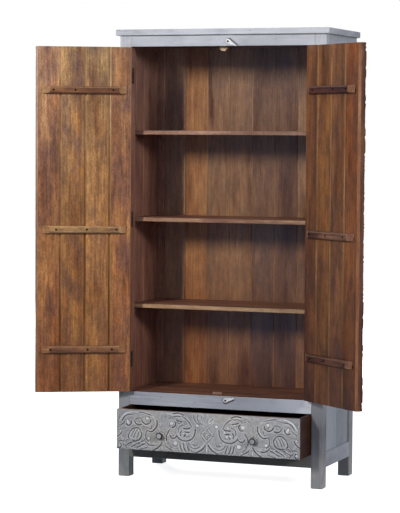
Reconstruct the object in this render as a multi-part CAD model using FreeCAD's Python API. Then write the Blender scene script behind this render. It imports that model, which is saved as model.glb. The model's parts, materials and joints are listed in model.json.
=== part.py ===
import FreeCAD, Part
import math
import os

# Tall painted cabinet with a pair of carved plank doors over one carved drawer.
# Millimetres. X runs to the right, Y to the back, Z up.
# The origin is on the floor under the middle of the case.
# Both doors stand open and the drawer is part way out, as the piece was found.

# Case
overall_height = 1800.0
case_width = 866.0
case_depth = 408.0
top_thickness = 24.0
top_overhang_side = 14.5
top_overhang_front = 13.0
top_rounding = 3.0
post_size = 48.0
post_rounding = 2.5
foot_height = 81.0
foot_bevel = 3.0

# Rails
bottom_rail_height = 49.5
drawer_opening_height = 163.0
middle_rail_height = 53.5
top_rail_height = 44.0
side_bottom_rail_height = 59.0
side_rail_thickness = 24.0
back_rail_thickness = 33.0
rail_rounding = 1.2
tenon_share = 0.42
tenon_shoulder = 8.0
joint_clearance = 0.2

# Boards of the sides and the back
board_thickness = 12.0
side_board_recess = 9.0
side_board_count = 4
back_board_count = 8
board_tongue = 8.0
board_gap = 0.4
board_bevel = 1.5

# Shelves
shelf_count = 3
shelf_thickness = 16.0
shelf_setback = 58.0
shelf_clearance = 0.4
shelf_rounding = 1.5
cleat_width = 16.0
cleat_height = 18.0

# Doors
door_gap = 3.0
plank_thickness = 17.5
carved_thickness = 14.0
plank_share = 0.2576
plank_count = 4
plank_bevel = 5.0
plank_tongue = 6.0
plank_tongue_thickness = 5.0
free_edge_bevel = 8.0
hinge_edge_bevel = 2.5
door_seat_gap = 0.5
left_open_angle = 151.5
right_open_angle = 139.2

# Battens across the inside of each door
batten_height = 29.0
batten_thickness = 18.0
batten_bevel_run = 30.0
batten_bevel_rise = 13.0
batten_arris = 4.0
batten_free_inset = 24.0
batten_hinge_inset = 20.0
batten_end_offset = 172.0
batten_middle_drop = 38.0
batten_screw_places = ((0.20, 0.455, 0.846), (0.158, 0.468, 0.791), (0.195, 0.59, 0.82))

# Butt hinges
hinge_height = 64.0
hinge_leaf_thickness = 1.3
hinge_leaf_width = 28.0
hinge_barrel_radius = 3.5
hinge_pin_radius = 1.5
hinge_pin_head_radius = 2.6
hinge_pin_head_height = 1.5
hinge_running_fit = 0.05
hinge_part_gap = 0.3
hinge_offset_top = 113.0
hinge_offset_bottom = 126.0
hinge_screw_inset = 20.0
hinge_screw_pitch = 22.0

# Wood screws
screw_shank_radius = 1.6
screw_head_radius = 3.0
screw_length = 13.0
screw_clearance = 0.1
batten_screw_radius = 1.8
batten_screw_head_radius = 4.0
batten_screw_head_height = 2.0
batten_screw_bite = 11.0

# Drawer
drawer_gap = 1.5
drawer_top_gap = 2.0
drawer_front_thickness = 24.0
drawer_lap = 12.0
drawer_side_thickness = 12.0
drawer_bottom_thickness = 6.0
drawer_bottom_rise = 10.0
drawer_groove_depth = 5.0
drawer_back_clearance = 8.0
drawer_back_inset = 6.0
drawer_pulled_out = 138.0
drawer_knob_share = 0.508
drawer_knob_rise = 61.5
runner_width = 18.0
runner_height = 20.0
runner_gap = 0.3

# Turned knobs
knob_radius = 14.0
knob_foot_radius = 7.0
knob_waist_radius = 5.6
knob_waist_place = 5.4
knob_neck_length = 9.0
knob_under_radius = 12.6
knob_rim_start = 11.7
knob_rim_end = 14.4
knob_length = 18.0
knob_ring_radius = 10.5
knob_ring_depth = 1.2
knob_dowel_radius = 5.0
knob_dowel_length = 11.0
door_knob_inset = 60.0
door_knob_height = 1040.0

# Turn buttons on the front rails
latch_x = 28.0
latch_head_radius = 9.0
latch_tip_radius = 2.4
latch_reach = 37.0
latch_thickness = 3.0
latch_boss_radius = 5.5
latch_boss_height = 1.2
latch_gap = 0.3
latch_edge_bevel = 0.7
latch_pivot_radius = 2.0
latch_pivot_head_radius = 4.2
latch_pivot_head_height = 1.8
latch_pivot_depth = 20.0
latch_top_rise = 18.0
latch_top_angle = -27.0
latch_bottom_drop = 17.0
latch_bottom_angle = 14.0

# Door stops
stop_disc_radius = 15.4
stop_disc_thickness = 12.0
stop_disc_x = -4.5
stop_disc_drop = 3.5
stop_disc_hole_radius = 2.4
stop_screw_rise = 8.0
stop_block_width = 38.0
stop_block_depth = 12.0
stop_block_height = 10.0
stop_block_x = -20.0

# Derived places
half_width = case_width / 2
front_y = -case_depth / 2
back_y = case_depth / 2
case_top = overall_height - top_thickness
opening_half = half_width - post_size
bottom_rail_top = foot_height + bottom_rail_height
drawer_opening_top = bottom_rail_top + drawer_opening_height
middle_rail_top = drawer_opening_top + middle_rail_height
top_rail_bottom = case_top - top_rail_height
side_bottom_rail_top = foot_height + side_bottom_rail_height
door_thickness = plank_thickness + carved_thickness
front_rail_thickness = door_thickness + door_seat_gap
rail_back_y = front_y + front_rail_thickness
tenon_length = post_size * tenon_share
back_inner_y = back_y - back_rail_thickness
side_outer_x = half_width - side_board_recess
side_inner_x = side_outer_x - board_thickness

vector = FreeCAD.Vector
up = vector(0, 0, 1)
nodes = {}
os.makedirs("parts", exist_ok=True)


def block(x0, x1, y0, y1, z0, z1):
    return Part.makeBox(x1 - x0, y1 - y0, z1 - z0, vector(x0, y0, z0))


def rod(radius, start, direction, length):
    return Part.makeCylinder(radius, length, start, direction)


def along(shape, axis):
    picked = []
    for edge in shape.Edges:
        first = edge.Vertexes[0].Point
        last = edge.Vertexes[-1].Point
        step = last - first
        if abs(step.dot(axis)) > 0.999 * step.Length:
            picked.append(edge)
    return picked


def softened(shape, radius, axis):
    return shape.makeFillet(radius, along(shape, axis))


def mirrored(shape):
    return shape.mirror(vector(0, 0, 0), vector(1, 0, 0))


def both_sides(shape):
    return [shape, mirrored(shape)]


def grown(shape, margin):
    box = shape.BoundBox
    return block(
        box.XMin - margin,
        box.XMax + margin,
        box.YMin - margin,
        box.YMax + margin,
        box.ZMin - margin,
        box.ZMax + margin,
    )


def less(shape, tools):
    return shape.cut(Part.makeCompound(tools))


# Each rail is returned with the tenons that its ends push into the posts.
def rail_along_x(y0, y1, z0, z1):
    body = softened(block(-opening_half, opening_half, y0, y1, z0, z1), rail_rounding, vector(1, 0, 0))
    middle = (y0 + y1) / 2
    half = (y1 - y0) * tenon_share / 2
    tenon = block(
        opening_half,
        opening_half + tenon_length,
        middle - half,
        middle + half,
        z0 + tenon_shoulder,
        z1 - tenon_shoulder,
    )
    pair = both_sides(tenon)
    return body.fuse(pair), pair


def rail_along_y(z0, z1):
    y0 = front_y + post_size
    y1 = back_y - post_size
    x1 = half_width
    x0 = half_width - side_rail_thickness
    body = softened(block(x0, x1, y0, y1, z0, z1), rail_rounding, vector(0, 1, 0))
    middle = (x0 + x1) / 2
    half = side_rail_thickness * tenon_share / 2
    low = z0 + tenon_shoulder
    high = z1 - tenon_shoulder
    ahead = block(middle - half, middle + half, y0 - tenon_length, y0, low, high)
    behind = block(middle - half, middle + half, y1, y1 + tenon_length, low, high)
    return body.fuse([ahead, behind]), [ahead, behind]


front_top, front_top_tenons = rail_along_x(front_y, rail_back_y, top_rail_bottom, case_top)
front_middle, front_middle_tenons = rail_along_x(front_y, rail_back_y, drawer_opening_top, middle_rail_top)
front_bottom, front_bottom_tenons = rail_along_x(front_y, rail_back_y, foot_height, bottom_rail_top)
back_top, back_top_tenons = rail_along_x(back_inner_y, back_y, top_rail_bottom, case_top)
back_bottom, back_bottom_tenons = rail_along_x(back_inner_y, back_y, foot_height, bottom_rail_top)
side_top, side_top_tenons = rail_along_y(top_rail_bottom, case_top)
side_bottom, side_bottom_tenons = rail_along_y(foot_height, side_bottom_rail_top)

# Grooves that hold the boards of the sides and the back
groove_depth = board_tongue + joint_clearance
side_groove = block(
    side_inner_x - joint_clearance,
    side_outer_x + joint_clearance,
    front_y + post_size - groove_depth,
    back_y - post_size + groove_depth,
    side_bottom_rail_top - groove_depth,
    top_rail_bottom + groove_depth,
)
back_groove = block(
    -opening_half - groove_depth,
    opening_half + groove_depth,
    back_inner_y - joint_clearance,
    back_inner_y + board_thickness + joint_clearance,
    bottom_rail_top - groove_depth,
    top_rail_bottom + groove_depth,
)
side_top = side_top.cut(side_groove)
side_bottom = side_bottom.cut(side_groove)
back_top = back_top.cut(back_groove)
back_bottom = back_bottom.cut(back_groove)

# Posts, built on the right and mirrored to the left
front_post = block(opening_half, half_width, front_y, front_y + post_size, 0, case_top)
back_post = block(opening_half, half_width, back_y - post_size, back_y, 0, case_top)


def finished_post(post, tenons, grooves):
    soft = softened(post, post_rounding, up)
    foot = [edge for edge in soft.Edges if edge.BoundBox.ZMax < post_rounding]
    soft = soft.makeChamfer(foot_bevel, foot)
    mortises = [grown(tenon, joint_clearance) for tenon in tenons]
    return less(soft, mortises + grooves)


front_tenons = front_top_tenons + front_middle_tenons + front_bottom_tenons
side_tenons = side_top_tenons + side_bottom_tenons
back_tenons = back_top_tenons + back_bottom_tenons
front_post = finished_post(front_post, front_tenons + side_tenons, [side_groove])
back_post = finished_post(back_post, back_tenons + side_tenons, [side_groove, back_groove])


# Boards side by side, each with its long inner edges eased
def board_row(count, start, end, make):
    width = (end - start - board_gap * (count - 1)) / count
    starts = [start + i * (width + board_gap) for i in range(count)]
    return [make(place, place + width) for place in starts]


def side_board(y0, y1):
    low = side_bottom_rail_top - board_tongue
    high = top_rail_bottom + board_tongue
    board = block(side_inner_x, side_outer_x, y0, y1, low, high)
    return board.makeChamfer(board_bevel, along(board, up))


def back_board(x0, x1):
    low = bottom_rail_top - board_tongue
    high = top_rail_bottom + board_tongue
    board = block(x0, x1, back_inner_y, back_inner_y + board_thickness, low, high)
    return board.makeChamfer(board_bevel, along(board, up))


side_boards = board_row(
    side_board_count,
    front_y + post_size - board_tongue,
    back_y - post_size + board_tongue,
    side_board,
)
back_boards = board_row(
    back_board_count,
    -opening_half - board_tongue,
    opening_half + board_tongue,
    back_board,
)

# Top
top_panel = block(
    -half_width - top_overhang_side,
    half_width + top_overhang_side,
    front_y - top_overhang_front,
    back_y,
    case_top,
    overall_height,
)
top_panel = top_panel.makeFillet(top_rounding, top_panel.Edges)

# Shelves share the height of the door opening equally
shelf_space = top_rail_bottom - middle_rail_top - shelf_count * shelf_thickness
shelf_clear_height = shelf_space / (shelf_count + 1)
shelf_half = side_inner_x - shelf_clearance
shelf_back = back_inner_y - shelf_clearance
back_post_notches = both_sides(
    block(
        opening_half - shelf_clearance,
        half_width,
        back_y - post_size - shelf_clearance,
        back_y,
        0,
        case_top,
    )
)
front_post_notches = both_sides(
    block(
        opening_half - shelf_clearance,
        half_width,
        front_y,
        front_y + post_size + shelf_clearance,
        0,
        case_top,
    )
)


def shelf_board(y0, z0):
    board = block(-shelf_half, shelf_half, y0, shelf_back, z0, z0 + shelf_thickness)
    lip = [edge for edge in along(board, vector(1, 0, 0)) if edge.BoundBox.YMax < y0 + shelf_rounding]
    return less(board.makeFillet(shelf_rounding, lip), back_post_notches + front_post_notches)


def cleats_under(z0):
    cleat = block(
        side_inner_x - cleat_width,
        side_inner_x,
        front_y + post_size,
        back_y - post_size,
        z0 - cleat_height,
        z0,
    )
    return both_sides(cleat)


floor_z = middle_rail_top - shelf_thickness
shelf_pitch = shelf_clear_height + shelf_thickness
shelf_places = [floor_z + (i + 1) * shelf_pitch for i in range(shelf_count)]
floor_front_y = rail_back_y
cleats = cleats_under(floor_z)
for place in shelf_places:
    cleats = cleats + cleats_under(place)

# Screws with a countersunk head in a hinge leaf
def countersunk(start, direction, extra):
    head = Part.makeCone(
        screw_head_radius + extra,
        screw_shank_radius + extra,
        hinge_leaf_thickness,
        start,
        direction,
    )
    shank = rod(screw_shank_radius + extra, start, direction, screw_length + extra)
    return head.fuse(shank)


# Door, drawn shut on the left. Distances run from the hinge edge.
door_width = (2 * opening_half - 3 * door_gap) / 2
plank_width = door_width * plank_share
door_bottom = middle_rail_top + door_gap
door_top = top_rail_bottom - door_gap
hinge_edge_x = -opening_half + door_gap
free_edge_x = hinge_edge_x + door_width
plank_y = front_y + carved_thickness
inner_face_y = front_y + door_thickness
hinge_axis = vector(-opening_half + door_gap / 2, front_y - hinge_barrel_radius, 0)
hinge_places = (
    door_bottom + hinge_offset_bottom,
    (door_bottom + door_top) / 2,
    door_top - hinge_offset_top,
)
batten_places = (
    door_bottom + batten_end_offset,
    (door_bottom + door_top) / 2 - batten_middle_drop,
    door_top - batten_end_offset,
)


def plank_edges(i):
    right = free_edge_x - i * plank_width
    left = right - plank_width + board_gap
    at_hinge_edge = i == plank_count - 1
    return (hinge_edge_x if at_hinge_edge else left), right


def inner_arris(plank, x):
    near = hinge_edge_bevel / 2
    inner = [edge for edge in along(plank, up) if edge.BoundBox.YMax > inner_face_y - near]
    return [edge for edge in inner if abs(edge.BoundBox.Center.x - x) < near]


def door_plank(i):
    left, right = plank_edges(i)
    at_free_edge = i == 0
    at_hinge_edge = i == plank_count - 1
    plank = block(left, right, plank_y, inner_face_y, door_bottom, door_top)
    left_bevel = hinge_edge_bevel if at_hinge_edge else plank_bevel
    right_bevel = free_edge_bevel if at_free_edge else plank_bevel
    plank = plank.makeChamfer(left_bevel, inner_arris(plank, left))
    plank = plank.makeChamfer(right_bevel, inner_arris(plank, right))
    tongue_y = plank_y + (plank_thickness - plank_bevel) / 2
    half = plank_tongue_thickness / 2
    if not at_hinge_edge:
        slot = half + joint_clearance
        reach = plank_tongue + joint_clearance
        groove = block(left, left + reach, tongue_y - slot, tongue_y + slot, door_bottom, door_top)
        plank = plank.cut(groove)
    if not at_free_edge:
        reach = plank_tongue + board_gap
        tongue = block(right, right + reach, tongue_y - half, tongue_y + half, door_bottom, door_top)
        plank = plank.fuse(tongue)
    return plank


def batten(z):
    x0 = hinge_edge_x + batten_hinge_inset
    x1 = free_edge_x - batten_free_inset
    y0 = inner_face_y
    y1 = inner_face_y + batten_thickness
    outline = [
        vector(x0, y0, 0),
        vector(x1, y0, 0),
        vector(x1, y1 - batten_bevel_rise, 0),
        vector(x1 - batten_bevel_run, y1, 0),
        vector(x0 + batten_bevel_run, y1, 0),
        vector(x0, y1 - batten_bevel_rise, 0),
        vector(x0, y0, 0),
    ]
    bar = Part.Face(Part.makePolygon(outline)).extrude(vector(0, 0, batten_height))
    bar.translate(vector(0, 0, z - batten_height / 2))
    long_edges = [edge for edge in along(bar, vector(1, 0, 0)) if edge.BoundBox.YMin > y1 - batten_arris]
    return bar.makeChamfer(batten_arris, long_edges)


def batten_screw(x, z, extra):
    face = inner_face_y + batten_thickness
    length = batten_thickness + batten_screw_bite + extra
    shank = rod(batten_screw_radius + extra, vector(x, face, z), vector(0, -1, 0), length)
    if extra:
        return shank
    head = rod(batten_screw_head_radius, vector(x, face, z), vector(0, 1, 0), batten_screw_head_height)
    rim = [edge for edge in head.Edges if edge.BoundBox.YMin > face + batten_screw_head_height / 2]
    rim = [edge for edge in rim if edge.Closed]
    return head.makeChamfer(batten_screw_head_height / 2, rim).fuse(shank)


batten_screw_spots = [
    (hinge_edge_x + share * door_width, z)
    for z, shares in zip(batten_places, batten_screw_places)
    for share in shares
]
hinge_screw_spots = [
    (front_y + hinge_screw_inset, z + step * hinge_screw_pitch)
    for z in hinge_places
    for step in (-1, 0, 1)
]
knuckle = hinge_height / 3
leaf_start_y = front_y + hinge_part_gap


def hinge_leaf(z, plate_x, own):
    low = z - hinge_height / 2
    plate = block(
        plate_x,
        plate_x + hinge_leaf_thickness,
        leaf_start_y,
        front_y + hinge_leaf_width,
        low,
        low + hinge_height,
    )
    for i in own:
        z0 = low + i * knuckle + (hinge_part_gap / 2 if i else 0)
        z1 = low + (i + 1) * knuckle - (hinge_part_gap / 2 if i < 2 else 0)
        barrel = rod(hinge_barrel_radius, vector(hinge_axis.x, hinge_axis.y, z0), up, z1 - z0)
        web = block(plate_x, plate_x + hinge_leaf_thickness, hinge_axis.y, leaf_start_y, z0, z1)
        plate = plate.fuse([barrel, web])
    bore_radius = hinge_pin_radius + hinge_running_fit
    bore = rod(bore_radius, vector(hinge_axis.x, hinge_axis.y, low), up, hinge_height)
    return plate.cut(bore)


def hinge_pin(z):
    foot = vector(hinge_axis.x, hinge_axis.y, z - hinge_height / 2)
    pin = rod(hinge_pin_radius, foot, up, hinge_height)
    head = rod(hinge_pin_head_radius, foot + up * hinge_height, up, hinge_pin_head_height)
    return pin.fuse(head)


post_leaf_face = -opening_half + hinge_leaf_thickness
door_leaf_face = hinge_edge_x - hinge_leaf_thickness
post_screws = [countersunk(vector(post_leaf_face, y, z), vector(-1, 0, 0), 0) for y, z in hinge_screw_spots]
post_screw_holes = [
    countersunk(vector(post_leaf_face, y, z), vector(-1, 0, 0), screw_clearance) for y, z in hinge_screw_spots
]
door_screws = [countersunk(vector(door_leaf_face, y, z), vector(1, 0, 0), 0) for y, z in hinge_screw_spots]
door_screw_holes = [
    countersunk(vector(door_leaf_face, y, z), vector(1, 0, 0), screw_clearance) for y, z in hinge_screw_spots
]
batten_screws = [batten_screw(x, z, 0) for x, z in batten_screw_spots]
batten_screw_holes = [batten_screw(x, z, screw_clearance) for x, z in batten_screw_spots]
post_leaves = [less(hinge_leaf(z, -opening_half, (0, 2)), post_screw_holes) for z in hinge_places]
door_leaves = [less(hinge_leaf(z, door_leaf_face, (1,)), door_screw_holes) for z in hinge_places]
hinge_pins = [hinge_pin(z) for z in hinge_places]


# A turned knob standing on a face, its axis pointing forward
def knob(x, face_y, z):
    profile = [
        vector(0, -knob_dowel_length, 0),
        vector(knob_dowel_radius, -knob_dowel_length, 0),
        vector(knob_dowel_radius, 0, 0),
        vector(knob_foot_radius, 0, 0),
        vector(knob_waist_radius, knob_waist_place, 0),
        vector(knob_under_radius, knob_neck_length, 0),
        vector(knob_radius, knob_rim_start, 0),
        vector(knob_radius, knob_rim_end, 0),
        vector(knob_ring_radius + knob_ring_depth, knob_length, 0),
        vector(knob_ring_radius, knob_length - knob_ring_depth, 0),
        vector(knob_ring_radius - knob_ring_depth, knob_length, 0),
        vector(0, knob_length, 0),
        vector(0, -knob_dowel_length, 0),
    ]
    turned = Part.Face(Part.makePolygon(profile)).revolve(vector(0, 0, 0), vector(0, 1, 0), 360)
    turned.rotate(vector(0, 0, 0), up, 180)
    turned.translate(vector(x, face_y, z))
    return turned


def knob_socket(x, face_y, z):
    radius = knob_dowel_radius + screw_clearance
    return rod(radius, vector(x, face_y, z), vector(0, 1, 0), knob_dowel_length + screw_clearance)


door_knob_x = free_edge_x - door_knob_inset
carved_panel = block(hinge_edge_x, free_edge_x, front_y, plank_y, door_bottom, door_top)
carved_panel = carved_panel.cut(knob_socket(door_knob_x, front_y, door_knob_height))
door = {}
for i in range(plank_count):
    door["plank_%d" % (plank_count - i)] = less(door_plank(i), door_screw_holes + batten_screw_holes)
for name, z in zip(("lower", "middle", "upper"), batten_places):
    door["batten_" + name] = less(batten(z), batten_screw_holes)
door["carved_panel"] = carved_panel
door["knob"] = knob(door_knob_x, front_y, door_knob_height)
door["hinge_leaves"] = Part.makeCompound(door_leaves)
door["screws"] = Part.makeCompound(door_screws + batten_screws)

for name, shape in door.items():
    left = shape.copy()
    left.rotate(hinge_axis, up, -left_open_angle)
    nodes["left_door_" + name] = left
    right = mirrored(shape)
    right.rotate(vector(-hinge_axis.x, hinge_axis.y, 0), up, right_open_angle)
    nodes["right_door_" + name] = right

# Turn buttons, each a tapered lever on a screw in the rail
def teardrop():
    lean = math.acos((latch_head_radius - latch_tip_radius) / latch_reach)

    def point(radius, centre, angle):
        return vector(centre + radius * math.cos(angle), 0, radius * math.sin(angle))

    head = Part.Arc(
        point(latch_head_radius, 0, lean),
        point(latch_head_radius, 0, math.pi),
        point(latch_head_radius, 0, -lean),
    )
    tip = Part.Arc(
        point(latch_tip_radius, latch_reach, -lean),
        point(latch_tip_radius, latch_reach, 0),
        point(latch_tip_radius, latch_reach, lean),
    )
    below = Part.makeLine(head.EndPoint, tip.StartPoint)
    above = Part.makeLine(tip.EndPoint, head.StartPoint)
    return Part.Face(Part.Wire([head.toShape(), below, tip.toShape(), above]))


def latch(z, angle):
    back = -latch_gap - latch_boss_height
    plate = teardrop().extrude(vector(0, -latch_thickness, 0))
    rim = [edge for edge in plate.Edges if edge.BoundBox.YMax < -latch_thickness / 2]
    plate = plate.makeChamfer(latch_edge_bevel, rim)
    plate.translate(vector(0, back, 0))
    boss = rod(latch_boss_radius, vector(0, back, 0), vector(0, 1, 0), latch_boss_height)
    bore = rod(
        latch_pivot_radius + hinge_running_fit,
        vector(0, back - latch_thickness, 0),
        vector(0, 1, 0),
        latch_thickness + latch_boss_height,
    )
    lever = plate.fuse(boss).cut(bore)
    lever.rotate(vector(0, 0, 0), vector(0, -1, 0), angle)
    lever.translate(vector(latch_x, front_y, z))
    return lever


def latch_pivot(z, extra):
    face = front_y - latch_gap - latch_boss_height - latch_thickness - latch_gap
    end = front_y + latch_pivot_depth + extra
    shank = rod(latch_pivot_radius + extra, vector(latch_x, face, z), vector(0, 1, 0), end - face)
    if extra:
        return shank
    head = rod(latch_pivot_head_radius, vector(latch_x, face, z), vector(0, -1, 0), latch_pivot_head_height)
    return head.fuse(shank)


latch_top_z = top_rail_bottom + latch_top_rise
latch_bottom_z = middle_rail_top - latch_bottom_drop

# Stops that the shut doors meet: a turned disc above, a block on the floor
stop_z = top_rail_bottom - stop_disc_drop
stop_disc_face = vector(stop_disc_x, rail_back_y, stop_z)
stop_disc = rod(stop_disc_radius, stop_disc_face, vector(0, 1, 0), stop_disc_thickness)
stop_disc = stop_disc.cut(
    rod(stop_disc_hole_radius, stop_disc_face, vector(0, 1, 0), stop_disc_thickness)
)
stop_screw_start = vector(stop_disc_x, rail_back_y + stop_disc_thickness, top_rail_bottom + stop_screw_rise)
stop_screw_length = stop_disc_thickness + screw_length
stop_screw = rod(screw_shank_radius, stop_screw_start, vector(0, -1, 0), stop_screw_length)
stop_screw = stop_screw.fuse(rod(screw_head_radius, stop_screw_start, vector(0, 1, 0), hinge_leaf_thickness))
stop_screw_hole = rod(
    screw_shank_radius + screw_clearance,
    stop_screw_start,
    vector(0, -1, 0),
    stop_screw_length + screw_clearance,
)
stop_block = block(
    stop_block_x - stop_block_width / 2,
    stop_block_x + stop_block_width / 2,
    rail_back_y,
    rail_back_y + stop_block_depth,
    middle_rail_top,
    middle_rail_top + stop_block_height,
)
stop_block = softened(stop_block, rail_rounding, vector(1, 0, 0))

# Drawer, drawn shut and then pulled out
drawer_half = opening_half - drawer_gap
drawer_knob_spread = drawer_half * drawer_knob_share
drawer_bottom_z = bottom_rail_top + drawer_top_gap
drawer_top_z = drawer_opening_top - drawer_top_gap
drawer_inner_half = drawer_half - drawer_side_thickness
front_inner_y = front_y + drawer_front_thickness
side_start_y = front_y + drawer_lap
drawer_end_y = back_inner_y - drawer_back_clearance
panel_z = drawer_bottom_z + drawer_bottom_rise
panel_top = panel_z + drawer_bottom_thickness
panel_half = drawer_inner_half + drawer_groove_depth
drawer_back_y = drawer_end_y - drawer_back_inset - drawer_side_thickness
knob_z = drawer_bottom_z + drawer_knob_rise
panel_groove = block(
    -panel_half - joint_clearance,
    panel_half + joint_clearance,
    front_inner_y - drawer_groove_depth - joint_clearance,
    drawer_end_y,
    panel_z - joint_clearance,
    panel_top + joint_clearance,
)
side_laps = both_sides(
    block(
        drawer_inner_half - joint_clearance,
        drawer_half,
        side_start_y,
        front_inner_y,
        drawer_bottom_z,
        drawer_top_z,
    )
)
drawer_front = block(-drawer_half, drawer_half, front_y, front_inner_y, drawer_bottom_z, drawer_top_z)
knob_sockets = [knob_socket(x, front_y, knob_z) for x in (-drawer_knob_spread, drawer_knob_spread)]
drawer_front = less(drawer_front, side_laps + knob_sockets + [panel_groove])
drawer_side = block(drawer_inner_half, drawer_half, side_start_y, drawer_end_y, drawer_bottom_z, drawer_top_z)
drawer_side = drawer_side.cut(panel_groove)
drawer_back = block(
    -drawer_inner_half,
    drawer_inner_half,
    drawer_back_y,
    drawer_back_y + drawer_side_thickness,
    panel_top + joint_clearance,
    drawer_top_z,
)
drawer_panel = block(
    -panel_half,
    panel_half,
    front_inner_y - drawer_groove_depth,
    drawer_end_y,
    panel_z,
    panel_top,
)
drawer = {
    "front": drawer_front,
    "left_side": mirrored(drawer_side),
    "right_side": drawer_side,
    "back": drawer_back,
    "bottom": drawer_panel,
    "knobs": Part.makeCompound([knob(x, front_y, knob_z) for x in (-drawer_knob_spread, drawer_knob_spread)]),
}
for name, shape in drawer.items():
    moved = shape.copy()
    moved.translate(vector(0, -drawer_pulled_out, 0))
    nodes["drawer_" + name] = moved

runner = block(
    opening_half - runner_width,
    opening_half,
    rail_back_y,
    back_inner_y,
    drawer_bottom_z - runner_gap - runner_height,
    drawer_bottom_z - runner_gap,
)

# Everything that stays still
nodes["top_panel"] = top_panel
nodes["front_left_post"] = less(mirrored(front_post), post_screw_holes)
nodes["front_right_post"] = less(front_post, [mirrored(hole) for hole in post_screw_holes])
nodes["back_left_post"] = mirrored(back_post)
nodes["back_right_post"] = back_post
nodes["front_top_rail"] = less(front_top, [latch_pivot(latch_top_z, screw_clearance), stop_screw_hole])
nodes["front_middle_rail"] = front_middle.cut(latch_pivot(latch_bottom_z, screw_clearance))
nodes["front_bottom_rail"] = front_bottom
nodes["back_top_rail"] = back_top
nodes["back_bottom_rail"] = back_bottom
nodes["right_top_rail"] = side_top
nodes["left_top_rail"] = mirrored(side_top)
nodes["right_bottom_rail"] = side_bottom
nodes["left_bottom_rail"] = mirrored(side_bottom)
nodes["right_side_boards"] = Part.makeCompound(side_boards)
nodes["left_side_boards"] = Part.makeCompound([mirrored(board) for board in side_boards])
nodes["back_boards"] = Part.makeCompound(back_boards)
nodes["cupboard_floor"] = shelf_board(floor_front_y, floor_z)
for name, place in zip(("lower", "middle", "upper"), shelf_places):
    nodes[name + "_shelf"] = shelf_board(front_y + shelf_setback, place)
nodes["shelf_cleats"] = Part.makeCompound(cleats)
nodes["drawer_runners"] = Part.makeCompound(both_sides(runner))
nodes["upper_door_stop"] = stop_disc.cut(stop_screw_hole)
nodes["lower_door_stop"] = stop_block
nodes["post_hinge_leaves"] = Part.makeCompound(post_leaves + [mirrored(leaf) for leaf in post_leaves])
nodes["hinge_pins"] = Part.makeCompound(hinge_pins + [mirrored(pin) for pin in hinge_pins])
right_post_screws = [mirrored(screw) for screw in post_screws]
nodes["case_screws"] = Part.makeCompound(post_screws + right_post_screws + [stop_screw])
nodes["upper_latch"] = latch(latch_top_z, latch_top_angle)
nodes["lower_latch"] = latch(latch_bottom_z, latch_bottom_angle)
nodes["latch_pivots"] = Part.makeCompound([latch_pivot(latch_top_z, 0), latch_pivot(latch_bottom_z, 0)])

for name, shape in nodes.items():
    shape.exportStep("parts/" + name + ".step")
print(len(nodes), "pieces written")
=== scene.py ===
import json
import math
import bmesh
import bpy
import numpy as np
from mathutils import Matrix, Vector

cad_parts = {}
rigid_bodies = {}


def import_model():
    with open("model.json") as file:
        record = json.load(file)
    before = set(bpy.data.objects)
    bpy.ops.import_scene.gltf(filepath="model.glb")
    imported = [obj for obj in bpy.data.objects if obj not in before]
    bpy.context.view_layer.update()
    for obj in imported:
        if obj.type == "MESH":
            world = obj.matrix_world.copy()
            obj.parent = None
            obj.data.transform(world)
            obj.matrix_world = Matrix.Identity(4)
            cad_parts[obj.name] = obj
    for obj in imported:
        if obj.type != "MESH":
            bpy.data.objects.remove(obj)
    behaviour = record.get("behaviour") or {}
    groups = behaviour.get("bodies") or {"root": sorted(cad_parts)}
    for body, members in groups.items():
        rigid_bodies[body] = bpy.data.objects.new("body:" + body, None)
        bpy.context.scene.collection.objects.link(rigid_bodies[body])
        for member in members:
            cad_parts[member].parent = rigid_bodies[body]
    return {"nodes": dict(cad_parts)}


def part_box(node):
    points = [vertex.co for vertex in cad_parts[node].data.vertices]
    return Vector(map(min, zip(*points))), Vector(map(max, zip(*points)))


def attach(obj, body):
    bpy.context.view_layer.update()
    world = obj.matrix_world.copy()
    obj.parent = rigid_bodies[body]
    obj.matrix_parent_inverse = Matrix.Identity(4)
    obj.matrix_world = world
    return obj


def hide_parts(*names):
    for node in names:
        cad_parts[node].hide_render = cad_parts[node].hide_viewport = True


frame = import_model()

nodes = frame["nodes"]
for spare in [o for o in bpy.data.objects if o.name in ("Cube", "Light", "Camera")]:
    bpy.data.objects.remove(spare)  # the empty start scene's own things
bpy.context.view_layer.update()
scene = bpy.context.scene
scene.view_settings.view_transform = "Standard"
print("frame in:", len(nodes), "nodes")


# small helpers for node trees
tree = None  # the tree that is being laid out
toneNames = ("deep", "base", "pale", "patch", "glow", "shade", "chalk", "dirt", "rub", "wood", "buttonShadowTone",
             "leg", "warm", "groove", "pit")
heights = ("foot", "middle", "head")
carvedMarks = ("worn", "cut", "polish")  # what each point of a carving carries


def tone(colour):
    def straight(c):
        c = c / 255
        return c / 12.92 if c <= 0.04045 else ((c + 0.055) / 1.055) ** 2.4
    return (*map(straight, colour), 1.0)  # screen colour to shader colour


def mixed(look):
    return {key: tone(value) if key in toneNames else value for key, value in look.items()}


def shades(deep, base, pale, patch, **more):
    return dict(deep=deep, base=base, pale=pale, patch=patch, **more)


def newTree(owner):
    global tree
    owner.use_nodes = True
    tree = owner.node_tree
    tree.nodes.clear()


def put(kind, feeds=None, **settings):
    node = tree.nodes.new("ShaderNode" + kind)
    for key, value in settings.items():
        setattr(node, key, value)
    for key, value in (feeds or {}).items():
        if isinstance(value, bpy.types.NodeSocket):
            tree.links.new(value, node.inputs[key])
        else:
            node.inputs[key].default_value = value
    return node


def newLook(name):
    mat = bpy.data.materials.new(name)
    newTree(mat)
    skin = put("BsdfPrincipled")
    put("OutputMaterial", {"Surface": skin.outputs[0]})
    return mat, skin


def objectSpot():
    return put("TexCoord").outputs["Object"]


def objectAxis(axis):
    return put("SeparateXYZ", {0: objectSpot()}).outputs[axis]


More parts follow.
